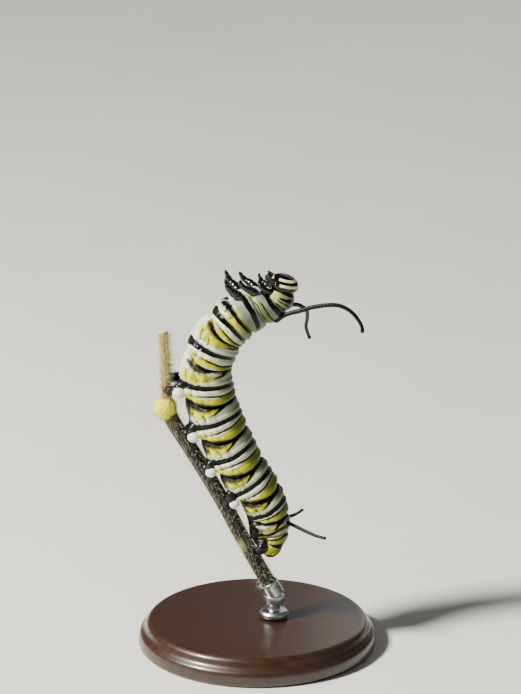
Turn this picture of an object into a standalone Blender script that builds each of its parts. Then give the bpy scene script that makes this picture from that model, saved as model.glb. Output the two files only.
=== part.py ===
"""Monarch larva gripping a cut milkweed stem, head up, as a life-size museum model on a turned stand.

The body lies in the XZ plane. The larva's back is toward +X low down and its left side is toward -Y.
"""

import math

import bmesh
import bpy
from mathutils import Matrix, Vector

MM = 0.001
GAP = 0.3 * MM
SIDES = 30

# Body, tail to neck. Lengths in mm, headings in degrees from +Z toward +X.
# Each row: name, length, heading, lean of the fold in front of it, height from belly to back.
SEGMENTS = [
    ("abdomen_10", 2.35, 12.0, -3.0, 3.1),
    ("abdomen_9", 1.15, 5.0, -10.0, 3.7),
    ("abdomen_8", 2.35, -10.0, -20.0, 4.4),
    ("abdomen_7", 3.60, -25.5, -29.0, 5.3),
    ("abdomen_6", 4.10, -34.0, -31.0, 6.0),
    ("abdomen_5", 5.20, -26.0, -25.0, 6.35),
    ("abdomen_4", 4.60, -20.5, -13.0, 6.45),
    ("abdomen_3", 4.50, -9.0, 7.0, 6.65),
    ("abdomen_2", 4.45, 20.0, 30.0, 6.5),
    ("abdomen_1", 3.60, 42.0, 50.0, 6.1),
    ("metathorax", 3.10, 59.0, 60.0, 5.9),
    ("mesothorax", 2.35, 71.0, 44.0, 5.2),
    ("prothorax", 1.40, 48.0, 25.0, 4.1),
]
TAIL_END = (1.66, 12.01)
TAIL_LEAN = 6.0
TAIL_HEIGHT = 2.2
NECK_HEIGHT = 3.4
WIDTH_RATIO = 0.98
FOLD_TUCK = 0.26 * MM

# Head capsule, in its own frame: X toward the crown, Y across, Z toward the face.
HEAD_CENTRE = (3.35, 49.20)
HEAD_LEAN = 14.0
HEAD_HALF = (1.98, 1.85, 1.32)
HEAD_CREASE = 0.12
STEMMA_RADIUS = 0.17
STEMMA_COUNT = 6

# Legs and feelers, mm.
PROLEG_RADIUS = 1.12
KNOB_RADIUS = 0.80
FRONT_FILAMENT_RADIUS = 0.34
REAR_FILAMENT_RADIUS = 0.29

# Stem: x and z of its middle from the top cut down, mm.
STEM_COURSE = [(-12.03, 43.0), (-11.75, 38.5), (-11.62, 34.0), (-10.90, 30.9), (-9.00, 27.7),
               (-6.66, 23.7), (-4.15, 19.2), (-1.86, 14.6), (0.30, 10.6), (2.70, 6.2)]
STEM_FOOT = 7.1
STEM_THIN = 0.58
STEM_THICK = 1.00
KNUCKLE_CENTRE = (-11.85, 32.55)
KNUCKLE_RADIUS = 1.60

# Stand, mm.
BASE_RADIUS = 15.5
BASE_HEIGHT = 3.6
ROD_RADIUS = 0.80
ROD_COLLAR_RADIUS = 1.9
ROD_COLLAR_HEIGHT = 0.9

COLOURS = {
    "flesh": ((0.80, 0.80, 0.30), 0.5, 0.0),
    "black": ((0.015, 0.014, 0.018), 0.3, 0.0),
    "stem": ((0.16, 0.12, 0.04), 0.8, 0.0),
    "wood": ((0.05, 0.022, 0.01), 0.35, 0.0),
    "steel": ((0.6, 0.6, 0.62), 0.3, 1.0),
}


def clear_scene():
    for ob in list(bpy.data.objects):
        bpy.data.objects.remove(ob, do_unlink=True)


def new_collection(name):
    group = bpy.data.collections.new(name)
    bpy.context.scene.collection.children.link(group)
    return group


def material(name, kind):
    colour, rough, metal = COLOURS[kind]
    mat = bpy.data.materials.new(name)
    mat.use_nodes = True
    shader = mat.node_tree.nodes["Principled BSDF"]
    shader.inputs["Base Color"].default_value = (*colour, 1.0)
    shader.inputs["Roughness"].default_value = rough
    shader.inputs["Metallic"].default_value = metal
    return mat


def place(name, mesh, kind, group):
    ob = bpy.data.objects.new(name, mesh)
    ob.data.materials.clear()
    ob.data.materials.append(material(name, kind))
    group.objects.link(ob)
    return ob


def as_cutter(ob):
    ob.hide_render = True
    ob.display_type = "WIRE"
    return ob


# Smooth values along the body.

def hermite(xs, ys, x):
    """The value at x of a smooth line through the points (xs, ys)."""
    x = min(max(x, xs[0]), xs[-1])
    i = max(j for j in range(len(xs) - 1) if xs[j] <= x)
    step = xs[i + 1] - xs[i]

    def slope(j):
        lo, hi = max(j - 1, 0), min(j + 1, len(xs) - 1)
        return (ys[hi] - ys[lo]) / (xs[hi] - xs[lo])

    t = (x - xs[i]) / step
    a = (2 * t ** 3 - 3 * t ** 2 + 1) * ys[i] + (t ** 3 - 2 * t ** 2 + t) * step * slope(i)
    b = (3 * t ** 2 - 2 * t ** 3) * ys[i + 1] + (t ** 3 - t ** 2) * step * slope(i + 1)
    return a + b


def smooth_path(points, steps):
    """A smooth curve through a few points, read at even steps of its length."""
    along = [0.0]
    for p, q in zip(points, points[1:]):
        along.append(along[-1] + (Vector(q) - Vector(p)).length)
    out = []
    for k in range(steps + 1):
        s = along[-1] * k / steps
        out.append(Vector([hermite(along, [p[axis] for p in points], s) for axis in range(3)]))
    return out


def fold_table():
    """The place along the body, middle point and lean of each fold, tail to neck."""
    x, z = TAIL_END
    s = 0.0
    rows = [(s, x, z, TAIL_LEAN)]
    for name, length, heading, lean, height in SEGMENTS:
        x += length * math.sin(math.radians(heading))
        z += length * math.cos(math.radians(heading))
        s += length
        rows.append((s, x, z, lean))
    return rows


FOLDS = fold_table()
FOLD_S = [row[0] for row in FOLDS]
HEIGHT_S = [0.0] + [(a + b) / 2 for a, b in zip(FOLD_S, FOLD_S[1:])] + [FOLD_S[-1]]
HEIGHTS = [TAIL_HEIGHT] + [row[4] for row in SEGMENTS] + [NECK_HEIGHT]
SPAN = {row[0]: (FOLD_S[i], FOLD_S[i + 1]) for i, row in enumerate(SEGMENTS)}


def spine(s):
    """Middle of the body at s, with the directions toward the head and toward the back."""
    x = hermite(FOLD_S, [row[1] for row in FOLDS], s)
    z = hermite(FOLD_S, [row[2] for row in FOLDS], s)
    lean = math.radians(hermite(FOLD_S, [row[3] for row in FOLDS], s))
    ahead = Vector((math.sin(lean), 0.0, math.cos(lean)))
    back = Vector((math.cos(lean), 0.0, -math.sin(lean)))
    return Vector((x, 0.0, z)) * MM, ahead, back


def half_height(s):
    return hermite(HEIGHT_S, HEIGHTS, s) / 2 * MM


def on_body(s, angle, out=0.0):
    """A point at s, out by a length from the skin. Angle 0 is the back, 90 the right side, 180 the belly."""
    middle, ahead, back = spine(s)
    radius = half_height(s) + out
    turn = math.radians(angle)
    return middle + back * radius * math.cos(turn) + Vector((0, radius * WIDTH_RATIO * math.sin(turn), 0))


def middle_of(segment, share=0.5):
    """The place along the body that lies at a share of a segment, counted from its rear fold."""
    start, end = SPAN[segment]
    return start + (end - start) * share


# Solids.

def loft(name, rings, kind, group):
    """A closed solid through rings of equal point count, capped flat at both ends."""
    bm = bmesh.new()
    loops = [[bm.verts.new(p) for p in ring] for ring in rings]
    for low, high in zip(loops, loops[1:]):
        for i in range(len(low)):
            j = (i + 1) % len(low)
            bm.faces.new((low[i], low[j], high[j], high[i]))
    bm.faces.new(list(reversed(loops[0])))
    bm.faces.new(loops[-1])
    bmesh.ops.recalc_face_normals(bm, faces=bm.faces)
    mesh = bpy.data.meshes.new(name)
    bm.to_mesh(mesh)
    bm.free()
    mesh.shade_smooth()
    return place(name, mesh, kind, group)


def segment_rings(start, end, steps):
    """Rings of one segment, close together and tucked in at its folds."""
    rings = []
    for k in range(steps + 1):
        u = 0.5 - 0.5 * math.cos(math.pi * k / steps)
        dip = FOLD_TUCK * abs(2 * u - 1) ** 6
        s = start + (end - start) * u
        rings.append([on_body(s, 360 * i / SIDES, -dip) for i in range(SIDES)])
    return rings


def tail_rings(start, end, steps, grow):
    """Rings that close to a round tip at the tail."""
    rings = []
    for k in range(steps + 1):
        turn = math.pi / 2 * (k + 0.45) / (steps + 0.45)
        s = start + (end - start) * (1 - math.cos(turn))
        shrink = half_height(s) * (1 - math.sin(turn) ** 0.8)
        rings.append([on_body(s, 360 * i / SIDES, grow - shrink) for i in range(SIDES)])
    return rings


def tube(name, points, radii, kind, group, fineness=2):
    """A closed tube along points in mm, with a radius in mm at each."""
    line = bpy.data.curves.new(name, "CURVE")
    line.dimensions = "3D"
    line.bevel_depth = MM
    line.bevel_resolution = fineness
    line.use_fill_caps = True
    spline = line.splines.new("POLY")
    spline.points.add(len(points) - 1)
    for point, where, radius in zip(spline.points, points, radii):
        point.co = (*(Vector(where) * MM), 1.0)
        point.radius = radius
    source = bpy.data.objects.new(name, line)
    group.objects.link(source)
    mesh = bpy.data.meshes.new_from_object(source.evaluated_get(bpy.context.evaluated_depsgraph_get()))
    bpy.data.objects.remove(source)
    bm = bmesh.new()
    bm.from_mesh(mesh)
    bmesh.ops.remove_doubles(bm, verts=bm.verts, dist=0.001 * MM)
    bmesh.ops.recalc_face_normals(bm, faces=bm.faces)
    bm.to_mesh(mesh)
    bm.free()
    return place(name, mesh, kind, group)


def ball(name, centre, scale, kind, group, fine=12):
    bm = bmesh.new()
    bmesh.ops.create_uvsphere(bm, u_segments=fine, v_segments=fine * 2 // 3, radius=MM)
    bmesh.ops.scale(bm, vec=scale, verts=bm.verts)
    bmesh.ops.translate(bm, vec=Vector(centre) * MM, verts=bm.verts)
    mesh = bpy.data.meshes.new(name)
    bm.to_mesh(mesh)
    bm.free()
    mesh.shade_smooth()
    return place(name, mesh, kind, group)


def keep_largest(mesh):
    """Leaves only the biggest closed surface of a mesh."""
    bm = bmesh.new()
    bm.from_mesh(mesh)
    bmesh.ops.remove_doubles(bm, verts=bm.verts, dist=0.002 * MM)
    bmesh.ops.dissolve_degenerate(bm, edges=bm.edges, dist=0.002 * MM)
    left = set(bm.verts)
    islands = []
    while left:
        island = set()
        stack = [left.pop()]
        while stack:
            vert = stack.pop()
            island.add(vert)
            for edge in vert.link_edges:
                other = edge.other_vert(vert)
                if other in left:
                    left.remove(other)
                    stack.append(other)
        islands.append(island)
    islands.sort(key=len)
    for island in islands[:-1]:
        bmesh.ops.delete(bm, geom=list(island), context="VERTS")
    bm.to_mesh(mesh)
    bm.free()


def cut_flat(bm, where, outward):
    """Cuts away all that lies past a plane and closes the cut with one flat face."""
    cut = bmesh.ops.bisect_plane(bm, geom=bm.verts[:] + bm.edges[:] + bm.faces[:], plane_co=where,
                                 plane_no=outward, clear_outer=True)
    rim = [item for item in cut["geom_cut"] if isinstance(item, bmesh.types.BMEdge)]
    bmesh.ops.edgeloop_fill(bm, edges=rim)
    bmesh.ops.recalc_face_normals(bm, faces=bm.faces)


def is_closed(mesh):
    used = [0] * len(mesh.edges)
    for loop in mesh.loops:
        used[loop.edge_index] += 1
    return len(mesh.polygons) > 0 and all(count == 2 for count in used)


def apply_boolean(ob, step):
    """Applies a Boolean, with the second solver where the first leaves no closed solid."""
    for solver in ("EXACT", "MANIFOLD"):
        step.solver = solver
        done = bpy.data.meshes.new_from_object(ob.evaluated_get(bpy.context.evaluated_depsgraph_get()))
        if is_closed(done):
            break
    ob.modifiers.remove(step)
    ob.data = done
    keep_largest(done)


def union(ob, pieces):
    """Joins closed pieces to a solid in one Boolean and removes them."""
    batch = bpy.data.collections.new("batch")
    bpy.context.scene.collection.children.link(batch)
    for piece in pieces:
        batch.objects.link(piece)
    step = ob.modifiers.new("union", "BOOLEAN")
    step.operand_type = "COLLECTION"
    step.collection = batch
    step.operation = "UNION"
    apply_boolean(ob, step)
    bpy.data.collections.remove(batch)
    for piece in pieces:
        bpy.data.objects.remove(piece)
    return ob


def clear_of(ob, keys):
    """Cuts a solid clear of its neighbours by the gap."""
    for key in keys:
        step = ob.modifiers.new("clear", "BOOLEAN")
        step.object = KEEP_CLEAR[key]
        step.operation = "DIFFERENCE"
        apply_boolean(ob, step)
    return ob


clear_scene()
LARVA = new_collection("monarch_larva")
CUTTERS = new_collection("cutters")
KEEP_CLEAR = {}

# Body segments, each between two folds, and the whole body grown by the gap.
for row in SEGMENTS:
    first, last = SPAN[row[0]]
    if row[0] == "abdomen_10":
        rings = tail_rings(first, last - GAP / MM / 2, 6, 0.0)
        rings[-1] = [on_body(last - GAP / MM / 2, 360 * i / SIDES, -FOLD_TUCK) for i in range(SIDES)]
    else:
        rings = segment_rings(first + GAP / MM / 2, last - GAP / MM / 2, 7 if last - first > 2.0 else 4)
    loft(row[0], rings, "flesh", LARVA)
    if row[0] == "abdomen_10":
        grown = tail_rings(first, last, 8, GAP)
    else:
        grown += [[on_body(first + (last - first) * k / 4, 360 * i / SIDES, GAP) for i in range(SIDES)]
                  for k in range(1, 5)]
KEEP_CLEAR["body"] = as_cutter(loft("near_body", grown, "flesh", CUTTERS))


# Head capsule with its crease, cut flat behind, and its simple eyes.

def head_matrix():
    lean = math.radians(HEAD_LEAN)
    crown = Vector((math.cos(lean), 0.0, -math.sin(lean)))
    face = Vector((math.sin(lean), 0.0, math.cos(lean)))
    turn = Matrix((crown, Vector((0, 1, 0)), face)).transposed().to_4x4()
    return Matrix.Translation(Vector((HEAD_CENTRE[0], 0.0, HEAD_CENTRE[1])) * MM) @ turn


def in_head(x, y, z):
    """A point in mm of the head's own frame, placed in the world, in mm."""
    return (head_matrix() @ (Vector((x, y, z)) * MM)) / MM


def capsule_point(point):
    """Shapes a unit sphere's point into the head: two rounded halves, narrower at the mouth."""
    x, y, z = point
    narrow = 1.0 - 0.22 * max(-x, 0.0) ** 1.5
    crease = HEAD_CREASE * math.exp(-(y / 0.16) ** 2) * max(x + 0.35, 0.0)
    length = 1.0 - crease
    return Vector((x * HEAD_HALF[0] * length, y * HEAD_HALF[1] * narrow, z * HEAD_HALF[2] * length))


def head_solid(name, grow, group):
    bm = bmesh.new()
    bmesh.ops.create_uvsphere(bm, u_segments=28, v_segments=18, radius=1.0)
    for vert in bm.verts:
        shaped = capsule_point(vert.co)
        vert.co = (shaped + shaped.normalized() * grow) * MM
    bmesh.ops.transform(bm, matrix=head_matrix(), verts=bm.verts)
    neck, ahead, back = spine(FOLD_S[-1])
    where = neck + ahead * (GAP / 2 - grow * MM)
    cut_flat(bm, where, -ahead)
    mesh = bpy.data.meshes.new(name)
    bm.to_mesh(mesh)
    bm.free()
    mesh.shade_smooth()
    return place(name, mesh, "black", group)


head = head_solid("head", 0.0, LARVA)
KEEP_CLEAR["head"] = as_cutter(head_solid("near_head", GAP / MM, CUTTERS))
eyes = []
for side in (-1, 1):
    for k in range(STEMMA_COUNT):
        turn = math.radians(-20 + 40 * k)
        seat = Vector((-0.62 - 0.16 * math.cos(turn), side * 0.78, 0.12 + 0.22 * math.sin(turn)))
        where = capsule_point(seat.normalized())
        eyes.append(ball("stemma", in_head(*where), (STEMMA_RADIUS,) * 3, "black", LARVA, 6))
union(head, eyes)

# Upper lip, jaws and short feelers at the mouth.
lip = ball("labrum", in_head(-1.95, 0.0, 0.72), (0.42, 0.62, 0.34), "black", LARVA)
clear_of(lip, ["head"])
for side, tag in ((-1, "L"), (1, "R")):
    course = [(-1.55, side * 0.78, 0.15), (-2.05, side * 0.80, 0.18), (-2.42, side * 0.52, 0.22)]
    jaw = tube("mandible_" + tag, [in_head(*p) for p in smooth_path(course, 5)],
               [0.44, 0.44, 0.42, 0.36, 0.28, 0.18], "black", LARVA, 3)
    clear_of(jaw, ["head"])
    course = [(-1.35, side * 1.15, 0.45), (-1.85, side * 1.38, 0.62), (-2.30, side * 1.42, 0.82)]
    feeler = tube("antenna_" + tag, [in_head(*p) for p in smooth_path(course, 5)],
                  [0.28, 0.28, 0.26, 0.24, 0.19, 0.10], "black", LARVA)
    clear_of(feeler, ["head"])

# Stem with its knuckle, the perch.
stem_points = smooth_path([(x, 0.0, z) for x, z in STEM_COURSE], 26)


def stem_radius(z):
    """Thin above the knuckle and thick below it."""
    blend = 1 / (1 + math.exp((z - KNUCKLE_CENTRE[1]) * 1.6))
    return STEM_THIN + (STEM_THICK - STEM_THIN) * blend


def stem_solid(name, grow, group):
    radii = [stem_radius(p.z) + grow for p in stem_points]
    stalk = tube(name, stem_points, radii, "stem", group, 4)
    knuckle = ball("knuckle", (KNUCKLE_CENTRE[0], 0.0, KNUCKLE_CENTRE[1]),
                   [KNUCKLE_RADIUS + grow] * 3, "stem", group, 16)
    union(stalk, [knuckle])
    bm = bmesh.new()
    bm.from_mesh(stalk.data)
    cut_flat(bm, Vector((0.0, 0.0, STEM_FOOT * MM)), Vector((0.0, 0.0, -1.0)))
    bm.to_mesh(stalk.data)
    bm.free()
    return stalk


stem_solid("perch_stem", 0.0, LARVA)
KEEP_CLEAR["stem"] = as_cutter(stem_solid("near_stem", GAP / MM, CUTTERS))


def stem_at(z):
    """Middle of the stem at a height, mm."""
    low, high = min(zip(stem_points, stem_points[1:]), key=lambda pair: abs((pair[0].z + pair[1].z) / 2 - z))
    share = (z - low.z) / (high.z - low.z)
    return low.lerp(high, share)


# Prolegs: a fleshy leg, a pale knob behind it and a foot that clasps the stem.
# Each row: name, segment, share along it, height of the left and of the right foot, and how far the toe stops
# short of the middle of the stem.
PROLEGS = [("A3", "abdomen_3", 0.64, 35.25, 36.3, -0.20), ("A4", "abdomen_4", 0.57, 29.55, 29.2, 0.50),
           ("A5", "abdomen_5", 0.55, 24.85, 24.6, 0.10), ("A6", "abdomen_6", 0.53, 20.45, 20.15, 0.50)]
for tag, segment, share, left_z, right_z, short in PROLEGS:
    s = middle_of(segment, share)
    for side, hand, foot_z in ((-1, "L", left_z), (1, "R", right_z)):
        grip = stem_at(foot_z)
        reach = stem_radius(foot_z) + 0.55
        root = on_body(s, side * 142, -1.5 * MM) / MM
        hip = on_body(s, side * 148, 0.25 * MM) / MM
        foot = grip + Vector((short + 0.85, side * reach, 0.0))
        toe = grip + Vector((short, side * (reach + 0.05), 0.05))
        knee = hip.lerp(foot, 0.55) + Vector((0.1, side * 0.25, -0.05))
        leg = tube("proleg_%s_%s" % (tag, hand), smooth_path([root, hip, knee, foot, toe], 9),
                   [PROLEG_RADIUS * f for f in (1.05, 1.05, 1.04, 0.98, 0.88, 0.78, 0.70, 0.64, 0.56, 0.36)],
                   "black", LARVA, 4)
        low = on_body(s - 0.75, side * 147, 0.85 * MM) / MM
        knob = ball("knob", low, (KNOB_RADIUS,) * 3, "flesh", LARVA)
        union(leg, [knob])
        clear_of(leg, ["body", "stem"])

# Claspers at the tail.
for side, hand in ((-1, "L"), (1, "R")):
    root = on_body(1.2, side * 128, -0.75 * MM) / MM
    grip = stem_at(13.2)
    foot = grip + Vector((1.55, side * 1.25, 0.15))
    toe = grip + Vector((0.80, side * 1.42, 0.05))
    leg = tube("anal_proleg_" + hand, smooth_path([root, root.lerp(foot, 0.6), foot, toe], 7),
               [0.85, 0.88, 0.88, 0.84, 0.78, 0.70, 0.60, 0.38], "black", LARVA, 4)
    clear_of(leg, ["body", "stem"])

# Three pairs of jointed true legs, held up toward the mouth.
LEGS = [("T3", "metathorax", 0.62, 152, 0.52, (-1.6, 0.55, 2.45)),
        ("T2", "mesothorax", 0.36, 150, 0.46, (-1.75, 0.30, 1.75)),
        ("T1", "prothorax", 0.60, 146, 0.36, (-1.15, 0.10, 1.75))]
for tag, segment, share, angle, thick, reach in LEGS:
    for side, hand in ((-1, "L"), (1, "R")):
        root = on_body(middle_of(segment, share), side * angle, -0.9 * MM) / MM
        hip = on_body(middle_of(segment, share), side * angle, 0.2 * MM) / MM
        tip = hip + Vector((reach[0], side * reach[1], reach[2]))
        knee = hip.lerp(tip, 0.5) + Vector((-0.25, side * 0.35, -0.15))
        leg = tube("leg_%s_%s" % (tag, hand), smooth_path([root, hip, knee, tip], 10),
                   [thick * f for f in (1.4, 1.4, 1.34, 1.16, 1.2, 0.95, 0.86, 0.80, 0.62, 0.5, 0.2)],
                   "black", LARVA)
        clear_of(leg, ["body", "head"])

# Feelers: a long pair on the second thoracic segment, a short pair on the eighth abdominal one.
FILAMENTS = [
    ("front_filament_L", "mesothorax", -28, FRONT_FILAMENT_RADIUS,
     [(1.9, -0.5, 1.1), (3.9, -1.1, 1.85), (6.5, -1.7, 2.45), (9.3, -2.2, 1.55), (11.0, -2.6, -1.1)]),
    ("front_filament_R", "mesothorax", 28, FRONT_FILAMENT_RADIUS,
     [(1.5, 0.9, 0.65), (3.2, 2.6, -0.3), (3.7, 4.4, -2.0), (3.4, 6.2, -4.2), (4.0, 7.4, -5.9)]),
    ("rear_filament_L", "abdomen_8", -30, REAR_FILAMENT_RADIUS,
     [(1.5, -0.8, -0.50), (3.3, -1.9, -0.85), (5.0, -3.0, -0.80)]),
    ("rear_filament_R", "abdomen_8", 30, REAR_FILAMENT_RADIUS,
     [(0.7, 0.9, 0.05), (1.3, 2.3, 0.15), (1.9, 3.8, 0.3)]),
]
for name, segment, angle, thick, course in FILAMENTS:
    s = middle_of(segment, 0.5)
    root = on_body(s, angle, -0.7 * MM) / MM
    skin = on_body(s, angle) / MM
    points = [root, skin] + [skin + Vector(step) for step in course]
    steps = 16 if "front" in name else 8
    taper = [1.0 - 0.62 * (k / steps) ** 1.6 for k in range(steps + 1)]
    feeler = tube(name, smooth_path(points, steps), [thick * f for f in taper], "black", LARVA)
    clear_of(feeler, ["body"])


# Turned stand under the cut end of the stem.

def turned(name, profile, centre, kind, group):
    """A turned solid from (radius, height) pairs in mm, top to bottom."""
    bm = bmesh.new()
    line = [bm.verts.new((r * MM, 0.0, z * MM)) for r, z in profile]
    for a, b in zip(line, line[1:]):
        bm.edges.new((a, b))
    mesh = bpy.data.meshes.new(name)
    bm.to_mesh(mesh)
    bm.free()
    ob = place(name, mesh, kind, group)
    ob.location = Vector(centre) * MM
    screw = ob.modifiers.new("turn", "SCREW")
    screw.steps = 40 if profile[1][0] > 5 else 16
    screw.render_steps = screw.steps
    screw.use_merge_vertices = True
    screw.merge_threshold = 0.00001
    return ob


foot_of_stem = stem_at(STEM_FOOT)
turned("stand_base", [(0, BASE_HEIGHT), (BASE_RADIUS - 1.6, BASE_HEIGHT), (BASE_RADIUS - 1.1, BASE_HEIGHT - 0.35),
                      (BASE_RADIUS - 0.75, BASE_HEIGHT - 1.2), (BASE_RADIUS - 0.15, BASE_HEIGHT - 1.7),
                      (BASE_RADIUS, BASE_HEIGHT - 2.3), (BASE_RADIUS, 0.3), (BASE_RADIUS - 0.3, 0), (0, 0)],
       (0, 0, 0), "wood", LARVA)
rod_foot = BASE_HEIGHT + GAP / MM
rod_top = STEM_FOOT - GAP / MM
turned("stand_rod", [(0, rod_top), (STEM_THICK + 0.35, rod_top), (STEM_THICK + 0.35, rod_top - 1.0),
                     (ROD_RADIUS, rod_top - 1.3), (ROD_RADIUS, rod_foot + ROD_COLLAR_HEIGHT),
                     (ROD_COLLAR_RADIUS - 0.3, rod_foot + ROD_COLLAR_HEIGHT - 0.1),
                     (ROD_COLLAR_RADIUS, rod_foot + ROD_COLLAR_HEIGHT - 0.45), (ROD_COLLAR_RADIUS, rod_foot),
                     (0, rod_foot)],
       (foot_of_stem.x, 0, 0), "steel", LARVA)
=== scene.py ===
"""Looks of the monarch larva on its cut milkweed stem, a life-size model on a turned stand.

Lengths are in millimetres until a point is placed, and angles round the body run from 0 at the back
to 180 at the belly, the same on both sides.
"""

import math

import bpy
import numpy as np
from mathutils import Matrix, Vector


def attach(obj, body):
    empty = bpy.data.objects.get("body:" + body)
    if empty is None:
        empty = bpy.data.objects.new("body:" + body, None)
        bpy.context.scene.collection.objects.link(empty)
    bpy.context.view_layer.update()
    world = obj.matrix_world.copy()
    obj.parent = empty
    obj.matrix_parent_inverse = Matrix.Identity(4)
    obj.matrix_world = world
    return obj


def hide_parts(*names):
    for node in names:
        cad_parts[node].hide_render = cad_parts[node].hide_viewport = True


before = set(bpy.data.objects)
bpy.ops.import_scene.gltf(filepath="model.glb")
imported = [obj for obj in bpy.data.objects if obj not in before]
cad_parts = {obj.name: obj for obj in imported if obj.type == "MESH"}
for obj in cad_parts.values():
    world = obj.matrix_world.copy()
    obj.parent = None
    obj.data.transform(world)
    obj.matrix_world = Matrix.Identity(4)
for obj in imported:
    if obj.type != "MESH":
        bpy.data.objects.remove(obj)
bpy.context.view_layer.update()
MM = 0.001

# The larva's build, the same values as its solids. Rows run from the tail to the neck:
# length of the segment, heading, lean of the fold in front of it, height from belly to back.
SEGMENTS = {
    "abdomen_10": (2.35, 12.0, -3.0, 3.1), "abdomen_9": (1.15, 5.0, -10.0, 3.7),
    "abdomen_8": (2.35, -10.0, -20.0, 4.4), "abdomen_7": (3.60, -25.5, -29.0, 5.3),
    "abdomen_6": (4.10, -34.0, -31.0, 6.0), "abdomen_5": (5.20, -26.0, -25.0, 6.35),
    "abdomen_4": (4.60, -20.5, -13.0, 6.45), "abdomen_3": (4.50, -9.0, 7.0, 6.65),
    "abdomen_2": (4.45, 20.0, 30.0, 6.5), "abdomen_1": (3.60, 42.0, 50.0, 6.1),
    "metathorax": (3.10, 59.0, 60.0, 5.9), "mesothorax": (2.35, 71.0, 44.0, 5.2),
    "prothorax": (1.40, 48.0, 25.0, 4.1)}
TAIL_END = (1.66, 12.01)
TAIL_LEAN, TAIL_HEIGHT, NECK_HEIGHT = 6.0, 2.2, 3.4
WIDTH_RATIO = 0.98
TAIL_ROUND = 2.05

HEAD_CENTRE = (3.35, 49.20)
HEAD_LEAN = 14.0
HEAD_HALF = np.array((1.98, 1.85, 1.32))
STEM_COURSE = [(-12.03, 0, 43.0), (-11.75, 0, 38.5), (-11.62, 0, 34.0), (-10.90, 0, 30.9), (-9.00, 0, 27.7),
               (-6.66, 0, 23.7), (-4.15, 0, 19.2), (-1.86, 0, 14.6), (0.30, 0, 10.6), (2.70, 0, 6.2)]
STEM_FOOT = 7.1
STEM_THIN, STEM_THICK = 0.58, 1.00
KNUCKLE_CENTRE = (-11.85, 0.0, 32.55)
KNUCKLE_RADIUS = 1.60
BASE_RADIUS, BASE_HEIGHT = 15.5, 3.6
SIDES = ((-1, "L"), (1, "R"))


def hermite(xs, ys, x):
    """Values at x on a smooth line through the points (xs, ys)."""
    xs, ys = np.asarray(xs, float), np.asarray(ys, float)
    x = np.clip(x, xs[0], xs[-1])
    i = np.clip(np.searchsorted(xs, x, side="right") - 1, 0, len(xs) - 2)
    low, high = np.maximum(np.arange(len(xs)) - 1, 0), np.minimum(np.arange(len(xs)) + 1, len(xs) - 1)
    slope = (ys[high] - ys[low]) / (xs[high] - xs[low])
    step = xs[i + 1] - xs[i]
    t = (x - xs[i]) / step
    return ((2 * t ** 3 - 3 * t ** 2 + 1) * ys[i] + (t ** 3 - 2 * t ** 2 + t) * step * slope[i]
            + (3 * t ** 2 - 2 * t ** 3) * ys[i + 1] + (t ** 3 - t ** 2) * step * slope[i + 1])


def fold_rows():
    """The folds from the tail on: distance along the body, x, z and lean."""
    x, z = TAIL_END
    rows = [(0.0, x, z, TAIL_LEAN)]
    for length, heading, lean, _ in SEGMENTS.values():
        x += length * math.sin(math.radians(heading))
        z += length * math.cos(math.radians(heading))
        rows.append((rows[-1][0] + length, x, z, lean))
    return np.array(rows)


FOLDS = fold_rows()
FOLD_S = FOLDS[:, 0]
START = dict(zip(SEGMENTS, FOLD_S))
HEIGHT_S = np.concatenate(([0.0], (FOLD_S[:-1] + FOLD_S[1:]) / 2, [FOLD_S[-1]]))
HEIGHTS = [TAIL_HEIGHT] + [row[3] for row in SEGMENTS.values()] + [NECK_HEIGHT]


def spine(s):
    """Middle of the body at s in mm, with the directions toward the head and toward the back."""
    s = np.asarray(s, float)
    lean = np.radians(hermite(FOLD_S, FOLDS[:, 3], s))
    nil = np.zeros_like(lean)
    ahead = np.stack((np.sin(lean), nil, np.cos(lean)), -1)
    back = np.stack((np.cos(lean), nil, -np.sin(lean)), -1)
    middle = np.stack((hermite(FOLD_S, FOLDS[:, 1], s), nil, hermite(FOLD_S, FOLDS[:, 2], s)), -1)
    return middle + ahead * np.maximum(s - FOLD_S[-1], 0)[..., None], ahead, back


def half_height(s):
    return hermite(HEIGHT_S, HEIGHTS, s) / 2


def on_body(s, angle, out=0.0):
    """A point in mm at s, out by a length from the skin. Angle 0 is the back, 90 the right side."""
    middle, _, back = spine(s)
    turn = np.radians(angle)
    radius = half_height(s) + out
    side = radius * WIDTH_RATIO * np.sin(turn)
    nil = np.zeros_like(side)
    return middle + back * (radius * np.cos(turn))[..., None] + np.stack((nil, side, nil), -1)


def middle_of(segment, share=0.5):
    return START[segment] + SEGMENTS[segment][0] * share


def rough(points, size, seed=0.0, octaves=3):
    """Smooth seeded unevenness between -1 and 1 at points in mm, with lumps of a size in mm."""
    total = np.zeros(len(points))
    for k in range(octaves):
        rng = np.random.default_rng(int(seed * 97) + k * 31 + 5)
        waves = rng.normal(size=(7, 3)) * (2.2 / size) * 1.9 ** k
        total += np.sin(points @ waves.T + rng.uniform(0, 6.28, 7)).sum(1) / 4.2 / 1.8 ** k
    return total / 1.6


def bell(off, width):
    """A smooth hump, 1 where off is 0."""
    return np.exp(-(off / width) ** 2)


def ramp(x, start, width):
    """Rises from 0 at start to 1 a width further on, which may be less than 0."""
    return np.clip((x - start) / width, 0, 1)


def domed(share):
    """The height of a round end at a share of its length."""
    return np.sqrt(np.clip(1 - (1 - share) ** 2, 0, 1))


def ball(u, v):
    """Directions over a whole sphere, with its poles on X."""
    turn, around = np.pi * u, 2 * np.pi * v
    return np.stack((np.cos(turn), np.sin(turn) * np.sin(around), np.sin(turn) * np.cos(around)), -1)


# Making pieces.

def clear_choice():
    if bpy.context.object and bpy.context.object.mode != "OBJECT":
        bpy.ops.object.mode_set(mode="OBJECT")
    bpy.ops.object.select_all(action="DESELECT")


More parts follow.
